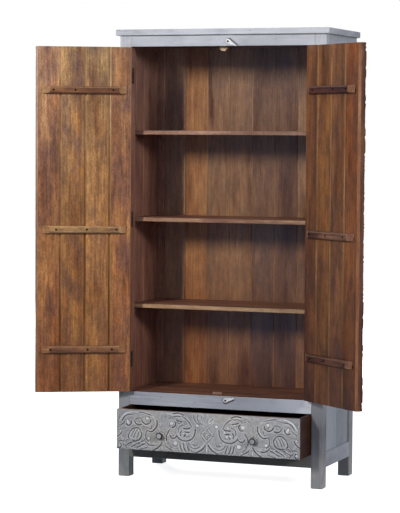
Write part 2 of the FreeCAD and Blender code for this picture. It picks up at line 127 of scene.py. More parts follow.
def vec(what, *feeds, out="Vector"):
    return put("VectorMath", dict(enumerate(feeds)), operation=what).outputs[out]


def noiseAt(space, across, along, detail, rough, shift, bend=0.0):
    moved = vec("MULTIPLY_ADD", space, (across, across, along), (shift, shift * 0.37, shift * 0.71))
    feeds = {"Vector": moved, "Scale": 1.0, "Detail": detail, "Roughness": rough, "Distortion": bend}
    return put("TexNoise", feeds).outputs["Fac"]


def spread(value, low, high, outLow=0.0, outHigh=1.0):
    feeds = {"Value": value, "From Min": low, "From Max": high, "To Min": outLow, "To Max": outHigh}
    return put("MapRange", feeds).outputs[0]


def calc(what, a, b):
    return put("Math", {0: a, 1: b}, operation=what).outputs[0]


def times(a, b):
    return calc("MULTIPLY", a, b)


def layer(share, under, over, how="MIX"):
    return put("Mix", {0: share, 6: under, 7: over}, data_type="RGBA", blend_type=how).outputs[2]


def shaded(colour, shade):
    return layer(1.0, colour, shade, "MULTIPLY")


def ramp(value, stops):
    node = put("ValToRGB", {0: value})
    bands = node.color_ramp.elements
    while len(bands) < len(stops):
        bands.new(0.5)
    for band, (place, colour) in zip(bands, stops):
        band.position = place
        band.color = (*colour[:3], 1)
    return node.outputs[0]


def grainSpace(run="z", turn=0.0):
    spot = objectSpot()
    if turn:
        spot = put("Mapping", {"Vector": spot, "Rotation": (0, 0, -turn)}).outputs[0]
    if run == "z":
        return spot
    parts = put("SeparateXYZ", {0: spot}).outputs
    order = {"x": (1, 2, 0), "y": (0, 2, 1)}[run]
    return put("CombineXYZ", {i: parts[k] for i, k in enumerate(order)}).outputs[0]


def edgeRub(radius):
    soft = put("Bevel", {"Radius": radius}, samples=4).outputs[0]
    flat = put("NewGeometry").outputs["True Normal"]
    meet = vec("DOT_PRODUCT", soft, flat, out="Value")
    return soft, spread(meet, 0.86, 0.995, 1.0, 0.0)  # 1 on an arris, 0 on the flat


def finish(skin, colour, rough, shine):
    tree.links.new(colour, skin.inputs["Base Color"])
    tree.links.new(rough, skin.inputs["Roughness"])
    skin.inputs["Specular IOR Level"].default_value = shine


def roughen(skin, height, strength, depth, normal=None):
    feeds = {"Height": height, "Strength": strength, "Distance": depth}
    if normal:
        feeds["Normal"] = normal
    tree.links.new(put("Bump", feeds).outputs[0], skin.inputs["Normal"])


# finishes

def stainedWood(name, under, **own):
    look = mixed(dict(under, **own))
    mat, skin = newLook(name)
    seed = look["seed"]
    space = grainSpace(look.get("run", "z"), look.get("turn", 0.0))
    cloud = noiseAt(space, 15, 2.6, 8, 0.58, seed + 3.1)
    bruise = noiseAt(space, 13, 6.0, 7, 0.6, seed + 11.3)
    glow = noiseAt(space, 15, 2.2, 6, 0.56, seed + 21.9)
    mottle = noiseAt(space, 70, 26, 4, 0.6, seed + 27.5)
    streak = noiseAt(space, 120, 6.0, 4, 0.6, seed + 5.2, 0.1)
    speck = noiseAt(space, 260, 120, 3, 0.6, seed + 31.4)
    fine = noiseAt(space, 420, 10, 3, 0.6, seed + 7.7)
    pores = spread(noiseAt(space, 820, 26, 2, 0.5, seed + 17.9), 0.62, 0.71)
    flame = put("TexWave", {
        "Vector": vec("MULTIPLY_ADD", space, (30, 30, 1.5), (seed, seed, seed)),
        "Scale": 1.0,
        "Distortion": 4.0,
        "Detail": 2.0,
        "Detail Scale": 0.6,
    }, wave_profile="SAW").outputs["Fac"]  # arched figure of a flat-sawn board
    colour = ramp(cloud, [(0.32, look["deep"]), (0.48, look["base"]), (0.66, look["pale"])])
    warmth = times(spread(glow, 0.5, 0.66), 0.5)
    colour = layer(warmth, colour, look.get("glow", look["pale"]))
    blot = times(spread(bruise, 0.47, 0.66), look.get("patchShare", 0.85))
    colour = layer(blot, colour, look["patch"])
    grit = look.get("grit", 1.0)
    for value, low, high, darker, paler in (
        (mottle, 0.34, 0.66, 0.14 * grit, 0.12 * grit),
        (speck, 0.3, 0.7, 0.18 * grit, 0.16 * grit),
        (streak, 0.34, 0.66, 0.16 * grit, 0.12 * grit),
        (fine, 0.3, 0.7, 0.16, 0.1),
        (flame, 0.0, 1.0, 0.1, 0.06),
    ):
        colour = shaded(colour, spread(value, low, high, 1 - darker, 1 + paler))
    colour = layer(times(pores, 0.4), colour, look["deep"])
    if "foot" in look:  # darker towards the floor and paler towards the top: partly painted shade and light, where the light falls off lower down
        rise = spread(objectAxis(2), 0.35, 1.75)
        colour = shaded(colour, ramp(rise, [(at, look[key]) for at, key in zip((0.0, 0.55, 1.0), heights)]))
    if "leg" in look:  # below the case the inner faces take the leg colour: grey paint on the right, painted shade on the left
        colour = layer(calc("LESS_THAN", objectAxis(2), look["legTop"]), colour, look["leg"])
    normal, arris = edgeRub(look.get("rubWide", 0.0018))
    if "rubAbove" in look:  # painted highlight on the upper edge and painted shadow on the lower edge
        above = calc("GREATER_THAN", objectAxis(2), look["rubAbove"])
        below = times(arris, calc("SUBTRACT", 1.0, above))
        colour = layer(times(below, 0.7), colour, look["dirt"])
        arris = times(arris, above)
    colour = layer(times(arris, look.get("rubShare", 0.3)), colour, look["pale"])
    finish(skin, colour, spread(cloud, 0.3, 0.7, 0.62, 0.46), look.get("shine", 0.22))
    skin.inputs["Specular Tint"].default_value = look.get("sheen", (1, 1, 1, 1))
    grain = calc("SUBTRACT", calc("ADD", fine, streak), pores)
    roughen(skin, grain, look.get("bump", 0.3), 0.0008, normal)
    return mat


# painted shadow of a turn button: a dark band on the rail along the lever's rest place
def buttonDirt(rest):
    x, z = rest["place"]
    way = (math.cos(rest["angle"]), 0, math.sin(rest["angle"]))
    flat = vec("MULTIPLY_ADD", objectSpot(), (1, 0, 1), (-x, 0, -z))
    along = vec("DOT_PRODUCT", flat, way, out="Value")
    reach = spread(along, 0.0, rest["reach"], 0.0, rest["reach"])
    near = put("VectorMath", {0: way, "Scale": reach}, operation="SCALE").outputs[0]
    far = vec("DISTANCE", flat, near, out="Value")
    half = spread(along, 0.0, rest["reach"], rest["head"], rest["tip"])
    return spread(calc("SUBTRACT", far, half), 0.0, rest["fade"], rest["share"], 0.0)


def oldPaint(name, **own):
    look = mixed(dict(casePaint, **own))
    mat, skin = newLook(name)
    seed = look["seed"]
    space = grainSpace(look.get("run", "z"))
    cloud = noiseAt(space, 7, 2.4, 4, 0.55, seed + 1.3)
    brush = noiseAt(space, 190, 5, 4, 0.6, seed + 5.9, 0.2)
    grime = noiseAt(space, 16, 9, 5, 0.6, seed + 9.1)
    flake = noiseAt(space, 120, 42, 4, 0.62, seed + 13.7)
    colour = ramp(cloud, [(0.32, look["shade"]), (0.52, look["base"]), (0.7, look["pale"])])
    chalk = times(spread(brush, 0.5, 0.74), look.get("chalkShare", 0.5))
    if "bleach" in look:  # paler towards the right end: painted light
        start, end, share = look["bleach"]
        chalk = calc("MAXIMUM", chalk, spread(objectAxis(0), start, end, 0.0, share))
    colour = layer(chalk, colour, look["chalk"])
    colour = layer(times(spread(grime, 0.52, 0.74), look.get("dirtShare", 0.4)), colour, look["dirt"])
    normal, arris = edgeRub(0.003)
    chip = spread(flake, 0.67, 0.705)
    worn = times(arris, spread(flake, 0.4, 0.6, 0.1, look.get("rubShare", 0.8)))
    if "footWear" in look:  # darker towards the floor, partly painted shade where the light falls off lower down, and scuffed near the floor
        high = objectAxis(2)
        shin = (look.get("shinAt", 0.35), look["shin"])
        stops = [(0.0, look["foot"]), shin, (look.get("shinTo", 1.0), (1, 1, 1))]
        colour = shaded(colour, ramp(spread(high, 0.0, 1.2), stops))
        low = spread(high, 0.0, look["footWear"], 1.0, 0.0)
        colour = layer(times(low, spread(grime, 0.4, 0.58, 0.1, 0.75)), colour, look["rub"])
    colour = layer(worn, colour, look["rub"])
    colour = layer(times(chip, look.get("chipShare", 0.8)), colour, look["wood"])
    if "rest" in look:  # painted shadow of the turn button on the rail where it rests
        colour = layer(buttonDirt(look["rest"]), colour, look["buttonShadowTone"])
    finish(skin, colour, spread(grime, 0.3, 0.7, 0.6, 0.78), look.get("shine", 0.2))
    roughen(skin, calc("SUBTRACT", times(brush, 0.7), chip), look.get("bump", 0.25), 0.0007, normal)
    return mat


def carvedPaint(name, **own):
    look = mixed(dict(carvedLook, **own))
    mat, skin = newLook(name)
    space = grainSpace(look.get("run", "x"))
    worn, cut, polish = [put("Attribute", attribute_name=mark).outputs["Fac"] for mark in carvedMarks]
    cloud = noiseAt(space, 9, 5, 4, 0.55, 2.3)
    speck = noiseAt(space, 210, 120, 4, 0.65, 6.1)
    brush = noiseAt(space, 240, 22, 3, 0.6, 8.8)
    stain = noiseAt(space, 95, 80, 3, 0.6, 15.5)
    colour = ramp(cloud, [(0.35, look["shade"]), (0.52, look["base"]), (0.68, look["warm"])])
    colour = shaded(colour, spread(stain, 0.36, 0.64, 0.84, 1.1))
    if "dim" in look:  # darker towards the left end: painted shade with dirt
        start, end, share = look["dim"]
        colour = shaded(colour, spread(objectAxis(0), start, end, share, 1.0))
    lift = calc("ADD", worn, times(calc("SUBTRACT", speck, 0.5), 0.5))
    grooveDarkening = spread(noiseAt(space, 40, 40, 3, 0.6, 12.6), 0.36, 0.54, 0.5, 1.0)  # some cuts are painted darker than others: dirt with painted shade
    # hollows darkened and high spots paled from the relief: painted shade with dirt below, rubbed paint with
    # painted highlight above; cuts near black, painted shade with dirt
    for where, share, key in (
        (spread(lift, 0.04, 0.42, 1.0, 0.0), 0.5, "deep"),
        (spread(lift, 0.58, 0.95), 0.26, "rub"),
        (spread(polish, 0.0, 0.8), 1.0, "rub"),
        (spread(brush, 0.55, 0.72), 0.3, "chalk"),
        (spread(cut, 0.2, 0.8), grooveDarkening, "groove"),
        (spread(speck, 0.69, 0.73), 0.7, "wood"),
    ):
        colour = layer(times(where, share), colour, look[key])
    finish(skin, colour, spread(speck, 0.3, 0.7, 0.55, 0.75), 0.25)
    roughen(skin, calc("ADD", speck, times(brush, 0.6)), 0.3, 0.0006)
    return mat


def oldMetal(name, **look):
    look = mixed(look)
    mat, skin = newLook(name)
    space = grainSpace()
    cloud = noiseAt(space, 60, 60, 4, 0.6, 1.7)
    pit = noiseAt(space, 900, 900, 3, 0.6, 4.4)
    scratch = noiseAt(space, 1400, 120, 2, 0.5, 9.2)
    colour = ramp(cloud, [(0.35, look["deep"]), (0.55, look["base"]), (0.72, look["pale"])])
    colour = layer(times(spread(pit, 0.58, 0.7), look["pitShare"]), colour, look["pit"])
    normal, arris = edgeRub(0.0008)
    colour = layer(times(arris, 0.6), colour, look["pale"])
    rough = spread(cloud, 0.3, 0.7, look["rough"] - 0.08, look["rough"] + 0.1)
    finish(skin, colour, rough, look.get("shine", 0.5))
    skin.inputs["Metallic"].default_value = look["metal"]
    roughen(skin, calc("ADD", scratch, pit), 0.25, 0.0003, normal)
    return mat


def lay(mesh, mats):
    for mat in mats:
        mesh.materials.append(mat)


def dress(name, mats, rule=None):
    mesh = nodes[name].data
    mesh.materials.clear()
    lay(mesh, mats)
    for face in mesh.polygons:
        face.material_index = rule(face.center, face.normal) if rule else 0


# how far a face looks one way, for the rules that choose its finish
square = 0.7  # plainly faces that way
toward = 0.5  # leans that way
jointLean = 0.95  # less square to the front than this is the bevel of a joint
frontEdge = 0.35  # of a shelf
knobFace = 0.72
battenBevel = 0.12
edgeOn = 0.3
plankFlat = 0.9  # a face between leaning and this is a plank's bevel


# the case, grey paint outside and brown stain inside
casePaint = {
    "shade": (156, 156, 160),
    "base": (179, 180, 183),
    "pale": (197, 197, 199),
    "chalk": (220, 221, 224),
    "dirt": (134, 131, 131),
    "rub": (208, 200, 188),
    "wood": (104, 84, 68),
    # the tone of the painted shadow of the turn buttons
    "buttonShadowTone": (62, 60, 64),
    # foot and shin: partly painted shade where the light falls off lower down
    "foot": (0.56, 0.55, 0.52),
    "shin": (0.66, 0.66, 0.66),
}
caseEdges = {
    "postInside": 0.416,  # m from the middle: the posts are stained nearer than this
    "boardsOutside": 0.424,  # the side rails' ledge is painted beyond this
    "footTop": 0.12,  # m above the floor
}
# size and reach of the painted shadow that each turn button leaves on its rail
buttonRest = {"reach": 0.035, "head": 0.0085, "tip": 0.002, "fade": 0.004, "share": 0.85}
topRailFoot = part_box("front_top_rail")[0].z
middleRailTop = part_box("front_middle_rail")[1].z
upperRest = dict(buttonRest, place=(0.0325, topRailFoot + 0.0205), angle=math.radians(-27))
lowerRest = dict(buttonRest, place=(0.0275, middleRailTop - 0.0225), angle=math.radians(14))
slabFront = oldPaint(
    "slabPaint", run="x", seed=1, chalkShare=0.35, dirtShare=0.5, base=(186, 187, 189),
    pale=(203, 203, 204))
railPaint = oldPaint(
    "railPaint", run="x", seed=4, rest=upperRest, chalkShare=0.3, shade=(168, 169, 172),
    base=(184, 185, 188), pale=(195, 195, 198))
# darker than the top rail: painted shade where the light falls off lower down; its right end paler: painted
# light
midRailPaint = oldPaint(
    "midRailPaint", run="x", seed=6, rest=lowerRest, chalkShare=0.35, bleach=(0.08, 0.34, 0.85),
    base=(160, 162, 167), shade=(140, 142, 148), pale=(176, 178, 182))
# darker paint: painted shade under the drawer; the back rails share it
lowRailPaint = oldPaint(
    "lowRailPaint", run="x", seed=7, dirtShare=0.6, chalkShare=0.3, footWear=0.01, foot=(0.39, 0.37, 0.31),
    shin=(0.44, 0.42, 0.37))
postPaint = oldPaint("postPaint", seed=9, footWear=0.16, dirtShare=0.5)
# the band at shin height is darker: painted shadow of the open drawer on the post
dimPostPaint = oldPaint(
    "dimPostPaint", seed=9.4, footWear=0.14, dirtShare=0.5, shinAt=0.17, shinTo=0.58,
    foot=(0.8, 0.78, 0.73), shin=(0.4, 0.4, 0.41))
boardPaint = {"chalkShare": 0.06, "dirtShare": 0.18, "bump": 0.06}
sidePaint = oldPaint(
    "sidePaint", **boardPaint, seed=12, shade=(163, 166, 169), base=(170, 173, 176), pale=(178, 180, 183))
rearSidePaint = oldPaint(
    "rearSidePaint", **boardPaint, seed=13.5, shade=(142, 146, 149), base=(151, 155, 158),
    pale=(160, 163, 166))
sideRailPaint = oldPaint("sideRailPaint", run="y", seed=15, chalkShare=0.2, bump=0.15)

insideStain = {
    "deep": (92, 60, 46),
    "base": (138, 102, 82),
    "pale": (164, 126, 100),
    "patch": (116, 92, 82),
    "patchShare": 0.7,
    # foot, middle and head: partly painted shade and light, where the light falls off lower down
    "foot": (0.69, 0.51, 0.29),
    "middle": (0.97, 0.89, 0.63),
    "head": (1.06, 1.08, 0.95),
    "shine": 0.75,
    "sheen": (0.28, 0.6, 1, 1),
}
warmStain = dict(
    insideStain, **shades((112, 66, 40), (156, 108, 76), (182, 134, 94), (142, 96, 70)),
    foot=(0.78, 0.6, 0.37), middle=(0.92, 0.86, 0.68))
dullStain = dict(
    insideStain, **shades((78, 50, 40), (112, 81, 66), (134, 100, 80), (94, 70, 62)),
    foot=(0.6, 0.45, 0.27), middle=(1.04, 0.98, 0.72), head=(1.18, 1.25, 1.15))
redStain = dict(insideStain, **shades((92, 52, 38), (128, 84, 64), (152, 106, 80), (106, 72, 58)))
level = dict.fromkeys(heights, (1, 1, 1))  # the same at any height
backLooks = [
    stainedWood("backBoardA", insideStain, seed=2, shine=1.0,
                **shades((112, 76, 60), (170, 130, 108), (198, 158, 130), (146, 118, 108))),
    stainedWood("backBoardB", warmStain, seed=5),
    stainedWood("backBoardC", insideStain, seed=8, middle=(1.05, 0.98, 0.71)),
    stainedWood("backBoardD", dullStain, seed=11),
]
# joint bevels painted paler: painted light that lifts the shade in the joints
backJoint = stainedWood(
    "backJoint", insideStain, seed=13,
    **shades((112, 78, 60), (168, 130, 104), (196, 156, 126), (146, 116, 98)))
backOrder = (0, 1, 2, 2, 3, 3, 2, 3)  # which finish each back board has, from the left
wallLook = dict(
    redStain, seed=14, **shades((116, 76, 64), (154, 110, 94), (178, 132, 110), (132, 96, 88)),
    foot=(0.8, 0.7, 0.62), middle=(1.0, 0.96, 0.88), head=(0.95, 1.05, 1.1), shine=0.5,
    sheen=(0.6, 0.78, 1, 1))
wallStain = stainedWood("wallStain", wallLook)
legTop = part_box("front_bottom_rail")[0].z
postStains = {  # inner faces of the posts
    # near black: painted shade on the inner faces of the left feet
    -1: stainedWood("leftPostStain", wallLook, legTop=legTop, leg=(34, 32, 32)),
    1: stainedWood("rightPostStain", wallLook, legTop=legTop, leg=(112, 112, 115)),
}
frameStain = stainedWood("frameStain", redStain, seed=17, run="x")
rawBack = stainedWood("rawBack", dullStain, seed=20, bump=0.5)
shelfStain = stainedWood(
    "shelfStain", redStain, **level, seed=23, run="x", shine=0.5, sheen=(0.6, 0.78, 1, 1))


def evenWood(name, seed, *tones, run="x", shine=0.2):
    return stainedWood(name, insideStain, **level, **shades(*tones), seed=seed, run=run, shine=shine)


shelfEdge = evenWood("shelfEdge", 26, (100, 68, 54), (138, 102, 80), (178, 140, 110), (114, 84, 72))
upperEdge = evenWood("upperEdge", 27, (112, 80, 66), (145, 109, 90), (183, 147, 121), (122, 93, 81))
tanEdge = evenWood("tanEdge", 29, (108, 76, 54), (160, 124, 92), (194, 158, 118), (142, 112, 90))
darkBox = evenWood(
    "drawerBox", 32, (29, 16, 9), (53, 30, 18), (70, 40, 24), (42, 24, 16), run="y", shine=0.06)


def dressCase():
    dress("top_panel", [slabFront])
    for name in ("front_left_post", "front_right_post", "back_left_post", "back_right_post"):
        side = -1 if "left" in name else 1
        end = -1 if "front" in name else 1

        def postRule(spot, facing):
            behind = end > 0 and spot.z < caseEdges["footTop"]
            inward = facing.y * end < -square and (abs(spot.x) < caseEdges["postInside"] or behind)
            return 1 if inward or facing.x * side < -square else 0
        paint = dimPostPaint if name == "front_right_post" else postPaint
        dress(name, [paint, postStains[side]], postRule)
    for place, paint in (("top", railPaint), ("middle", midRailPaint), ("bottom", lowRailPaint)):
        dress("front_" + place + "_rail", [paint, frameStain],
              lambda spot, facing: 0 if facing.y < -toward or facing.z < -square else 1)
    for name in ("back_top_rail", "back_bottom_rail"):
        dress(name, [lowRailPaint, frameStain], lambda spot, facing: 0 if facing.y > toward else 1)
    for side, sign in (("left", -1), ("right", 1)):
        def railRule(spot, facing):
            ledge = facing.z > toward and abs(spot.x) > caseEdges["boardsOutside"]
            return 0 if facing.x * sign > toward or facing.z < -square or ledge else 1

        def boardRule(spot, facing):
            if facing.x * sign <= toward:
                return 1
            return 0 if spot.y < 0 else 2  # the rear boards are duller
        for place in ("_top_rail", "_bottom_rail"):
            dress(side + place, [sideRailPaint, wallStain], railRule)
        dress(side + "_side_boards", [sidePaint, wallStain, rearSidePaint], boardRule)
    low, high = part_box("back_boards")
    pitch = (high.x - low.x) / len(backOrder)

    def backRule(spot, facing):
        if facing.y > toward:
            return len(backLooks)
        if facing.y > -jointLean:
            return len(backLooks) + 1
        return backOrder[min(len(backOrder) - 1, int((spot.x - low.x) / pitch))]
    dress("back_boards", backLooks + [rawBack, backJoint], backRule)
    edges = {
        "cupboard_floor": shelfEdge,
        "lower_shelf": tanEdge,
        "middle_shelf": shelfEdge,
        "upper_shelf": upperEdge,
    }
    for name, edge in edges.items():
        dress(name, [shelfStain, edge], lambda spot, facing: 1 if facing.y < -frontEdge else 0)
    dress("shelf_cleats", [shelfStain])
    dress("drawer_runners", [darkBox])
    print("case dressed")


dressCase()


# doors, seen from inside: four planks with V joints and three battens
leftDoor = {
    "turn": math.radians(-151.5),
    "seed": 40,
    "grit": 1.9,
    # foot, middle and head: partly painted shade and light, where the light falls off lower down
    "foot": (0.64, 0.46, 0.27),
    "middle": (0.72, 0.59, 0.41),
    "head": (0.84, 0.86, 0.84),
    "planks": [
        shades(
            (112, 74, 62), (156, 112, 84), (196, 152, 108), (118, 88, 90), glow=(184, 122, 72),
            lift=(1.32, 1.25, 0.88), rubShare=0.85, rubWide=0.0045),
        shades(
            (134, 93, 62), (172, 132, 92), (204, 162, 113), (138, 106, 91), glow=(196, 138, 84),
            lift=(1.15, 1.32, 0.8)),
        shades(
            (122, 80, 52), (166, 122, 84), (202, 156, 106), (126, 96, 90), glow=(192, 132, 74),
            lift=(1.08, 0.89, 0.97)),
        shades(
            (116, 76, 60), (166, 120, 90), (208, 162, 116), (122, 90, 84), glow=(194, 130, 78),
            lift=(1.2, 1.0, 1.28)),
    ],
    # the batten dirt tone is the painted shadow along each batten's lower edge
    "batten": shades((86, 54, 42), (132, 92, 70), (206, 164, 120), (110, 78, 66), dirt=(60, 36, 26)),
    # the end bevels are painted paler: painted highlight
    "battenEnd": shades((122, 84, 58), (164, 120, 84), (202, 160, 116), (138, 100, 74)),
    "battens": {
        "lower": dict(shade=(0.88, 0.79, 0.64), endShade=(0.78, 0.66, 0.54), seed=70),
        "middle": dict(shade=(1.14, 1.17, 0.88), endShade=(0.98, 0.96, 0.84), seed=73),
        "upper": dict(shade=(0.68, 0.55, 0.44), endShade=(1.0, 1.0, 0.96), seed=70),
    },
    # lip and freeBevel: the bevels of the V joints and of the free edge painted paler, a painted highlight of
    # the light they catch
    "lip": shades(
        (146, 108, 72), (186, 146, 100), (208, 172, 126), (164, 126, 92), foot=(0.34, 0.23, 0.16),
        middle=(0.6, 0.5, 0.4), head=(0.98, 1.0, 1.05)),
    "freeBevel": shades(
        (150, 116, 96), (186, 152, 130), (208, 176, 152), (170, 138, 118), foot=(0.55, 0.38, 0.25),
        middle=(0.72, 0.58, 0.45), head=(1.0, 1.0, 1.0)),
    "freeEdge": shades((84, 54, 40), (128, 90, 66), (164, 122, 90), (102, 70, 54)),
}
rightDoor = {
    "turn": math.radians(139.2),
    "seed": 60,
    "grit": 1.5,
    # foot, middle and head: partly painted shade and light, where the light falls off lower down
    "foot": (0.66, 0.54, 0.48),
    "middle": (1.0, 0.88, 0.68),
    "head": (1.14, 0.97, 0.68),
    "planks": [
        shades(
            (70, 43, 34), (106, 70, 54), (136, 92, 64), (84, 59, 55), glow=(134, 82, 48),
            lift=(0.97, 0.84, 0.92)),
        shades(
            (82, 52, 36), (126, 86, 60), (160, 112, 72), (96, 68, 58), glow=(152, 94, 52),
            lift=(0.9, 0.84, 0.95)),
        shades(
            (74, 48, 38), (116, 80, 60), (144, 102, 72), (88, 64, 60), glow=(138, 86, 50),
            lift=(1.15, 1.02, 1.0)),
        shades(
            (82, 48, 32), (126, 80, 54), (156, 104, 66), (92, 60, 50), glow=(150, 88, 46),
            lift=(0.58, 1.25, 1.05)),
    ],
    # the batten dirt tone is the painted shadow along each batten's lower edge
    "batten": shades((54, 34, 30), (90, 62, 54), (176, 140, 116), (76, 56, 52), dirt=(38, 22, 20)),
    # the end bevels are painted paler: painted highlight
    "battenEnd": shades((98, 66, 46), (138, 96, 70), (176, 130, 96), (112, 78, 60)),
    "battens": {
        "lower": dict(shade=(0.74, 0.53, 0.45), endShade=(0.8, 0.74, 0.74), seed=90),
        "middle": dict(shade=(0.65, 0.52, 0.48), endShade=(0.9, 0.88, 0.96), seed=99),
        "upper": dict(shade=(0.46, 0.29, 0.33), endShade=(1.04, 1.04, 1.0), seed=90),
    },
    # lip and freeBevel: the bevels of the V joints and of the free edge painted paler, a painted highlight of
    # the light they catch
    "lip": shades(
        (122, 90, 60), (160, 122, 82), (190, 154, 108), (138, 104, 76), foot=(0.6, 0.52, 0.46),
        middle=(0.8, 0.72, 0.62), head=(0.9, 0.82, 0.7)),
    "freeBevel": shades(
        (92, 58, 40), (132, 88, 58), (166, 120, 82), (110, 72, 50), foot=(1.35, 1.25, 1.2),
        middle=(1.3, 1.25, 1.3), head=(0.95, 0.95, 1.0)),
    "freeEdge": shades((58, 34, 26), (92, 56, 42), (128, 86, 62), (72, 46, 37)),
}
doorLook = {"left": leftDoor, "right": rightDoor}


def dressDoor(side):
    look = doorLook[side]
    turn, seed = look["turn"], look["seed"]
    outward = -1 if side == "left" else 1
    inside = Vector((-math.sin(turn), math.cos(turn), 0))  # which way the inner face looks at rest
    along = Vector((math.cos(turn), math.sin(turn), 0))  # across the door at rest
    # bevels of the joints and of the free edge: painted highlight
    lip = stainedWood(side + "Lip", look["lip"], seed=seed + 9, rubShare=0.0)
    freeBevel = stainedWood(side + "FreeBevel", look["freeBevel"], seed=seed + 12, rubShare=0.0)
    freeEdge = stainedWood(side + "FreeEdge", look["freeEdge"], seed=seed + 13, grit=2.0)
    for number, tint in enumerate(look["planks"], 1):
        height = {key: tuple(c * lift for c in look[key]) for key, lift in zip(heights, tint["lift"])}
        plank = stainedWood(
            side + "Plank" + str(number), tint, **height, seed=seed + 2.7 * number, shine=0.3,
            grit=look["grit"])
        last = number == len(look["planks"])

        def plankRule(spot, facing):
            lean = facing.dot(inside)
            away = facing.x * outward > inside.x * outward
            if last and away and max(abs(lean), abs(facing.z)) < edgeOn:
                return 3
            if not toward < lean < plankFlat:
                return 0
            return 2 if last and away else 1
        mats = [plank, lip, freeBevel if last else lip, freeEdge]
        dress(side + "_door_plank_" + str(number), mats, plankRule)

    def battenRule(spot, facing):
        return 1 if abs(facing.dot(along)) > battenBevel and facing.dot(inside) > edgeOn else 0
    for place, own in look["battens"].items():
        name = side + "_door_batten_" + place
        low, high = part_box(name)
        shade = dict.fromkeys(heights, own["shade"])
        endShade = dict.fromkeys(heights, own["endShade"])
        batten = stainedWood(
            side + "Batten" + place, look["batten"], **shade, run="x", turn=turn, seed=own["seed"],
            rubShare=0.9, rubWide=0.006, rubAbove=(low.z + high.z) / 2)
        # end bevels: painted highlight
        battenEnd = stainedWood(
            side + "BattenEnd" + place, look["battenEnd"], **endShade, run="x", turn=turn, seed=seed + 14)
        dress(name, [batten, battenEnd], battenRule)
    print(side, "door dressed")


dressDoor("left")
dressDoor("right")


# drawer box, metal and small pieces
knobPaint = oldPaint(
    "knobPaint", seed=33, base=(178, 176, 173), shade=(150, 148, 146), pale=(200, 198, 195), rubShare=0.9,
    shine=0.35)
# dark rim of each knob: painted shade where the knob's edge turns away from the light
knobRim = oldPaint(
    "knobRim", seed=36, base=(32, 30, 29), shade=(24, 22, 21), pale=(50, 47, 46), chalkShare=0.05,
    rubShare=0.15, chipShare=0.3, shine=0.2)
darkIron = oldMetal(
    "darkIron", deep=(30, 27, 26), base=(52, 47, 44), pale=(84, 76, 70), pit=(78, 50, 34), pitShare=0.5,
    metal=0.7, rough=0.5)
hingeIron = oldMetal(
    "hingeIron", deep=(42, 40, 42), base=(66, 64, 67), pale=(96, 92, 92), pit=(78, 58, 48), pitShare=0.4,
    metal=0.4, rough=0.55)
brownIron = oldMetal(
    "brownIron", deep=(52, 34, 28), base=(78, 54, 46), pale=(112, 84, 70), pit=(84, 52, 38), pitShare=0.5,
    metal=0.2, rough=0.6)
screwIron = oldMetal(
    "screwIron", deep=(8, 5, 4), base=(14, 9, 8), pale=(26, 17, 14), pit=(24, 14, 10), pitShare=0.5,
    metal=0.0, rough=0.7, shine=0.08)
# near white and hardly metallic: painted reflection standing in for the levers' shine
pewter = oldMetal(
    "pewter", deep=(206, 204, 204), base=(232, 230, 230), pale=(246, 244, 243), pit=(150, 147, 145),
    pitShare=0.4, metal=0.1, rough=0.4)
paleDisc = stainedWood(
    "paleDisc", shades((168, 138, 104), (206, 180, 144), (226, 204, 170), (190, 160, 126)), run="x", seed=70)
pinkBlock = stainedWood(
    "pinkBlock", shades((96, 66, 54), (128, 93, 78), (152, 115, 98), (108, 78, 66)), run="x", seed=73)
stainedHinges = 0.8  # m above the floor: stain ran over the hinges higher up


def dressSmallPieces():
    for name in ("drawer_left_side", "drawer_right_side", "drawer_back", "drawer_bottom"):
        dress(name, [darkBox])
    turns = {side + "_door_knob": look["turn"] for side, look in doorLook.items()}
    turns["drawer_knobs"] = 0.0
    for name, turn in turns.items():
        # the knob's sides take the dark rim: painted shade
        front = Vector((math.sin(turn), -math.cos(turn), 0))
        dress(name, [knobPaint, knobRim], lambda spot, facing: 0 if facing.dot(front) > knobFace else 1)
    for name in ("post_hinge_leaves", "hinge_pins", "left_door_hinge_leaves", "right_door_hinge_leaves"):
        dress(name, [hingeIron, brownIron], lambda spot, facing: 1 if spot.z > stainedHinges else 0)
    for name in ("case_screws", "latch_pivots"):
        dress(name, [darkIron])
    for name in ("left_door_screws", "right_door_screws"):
        dress(name, [screwIron])
    for name in ("upper_latch", "lower_latch"):
        # lever faces pale, edges dark iron: the dark edges are painted shade
        dress(name, [pewter, darkIron], lambda spot, facing: 0 if abs(facing.y) > square else 1)
    dress("upper_door_stop", [paleDisc])
    dress("lower_door_stop", [pinkBlock])
    print("small pieces dressed")


dressSmallPieces()


# scroll carving, drawn in millimetres as strokes on a field of heights
ground = 0.42  # level of the plain ground as a share of the relief
grooveFloor = 0.08
# pale rim along each cut: painted highlight with rubbed paint
rimShine = 0.28
rimReach = 1.7  # how far the rubbed edge of a cut goes, in widths of the cut
pen = {}  # the field it works on, its size, relief, cut, place, rub (strength of the rubbed paint and painted highlights) and the carver's hand


def makeField(wide, high, step, relief):
    us = np.linspace(0, wide, round(wide / step) + 1)
    vs = np.linspace(0, high, round(high / step) + 1)
    shape = (len(vs), len(us))
    return {"us": us, "vs": vs, "rise": np.full(shape, ground * relief), "cut": np.zeros(shape),
            "polish": np.zeros(shape)}


# sections of a stroke, with side running from -1 to 1 across it
roundForm = lambda side: 0.5 + 0.5 * np.sqrt(1 - side ** 2)
bandForm = lambda side: 0.66 + 0.34 * np.sqrt(1 - 0.92 * side ** 2)
plateForm = lambda side: 0.8 + 0.2 * np.sqrt(1 - 0.96 * side ** 4)
veinForm = lambda side: 1.0 - 0.4 * np.abs(side) - 0.28 * np.exp(-(side / 0.16) ** 2)
flatForm = lambda side: np.ones_like(side)


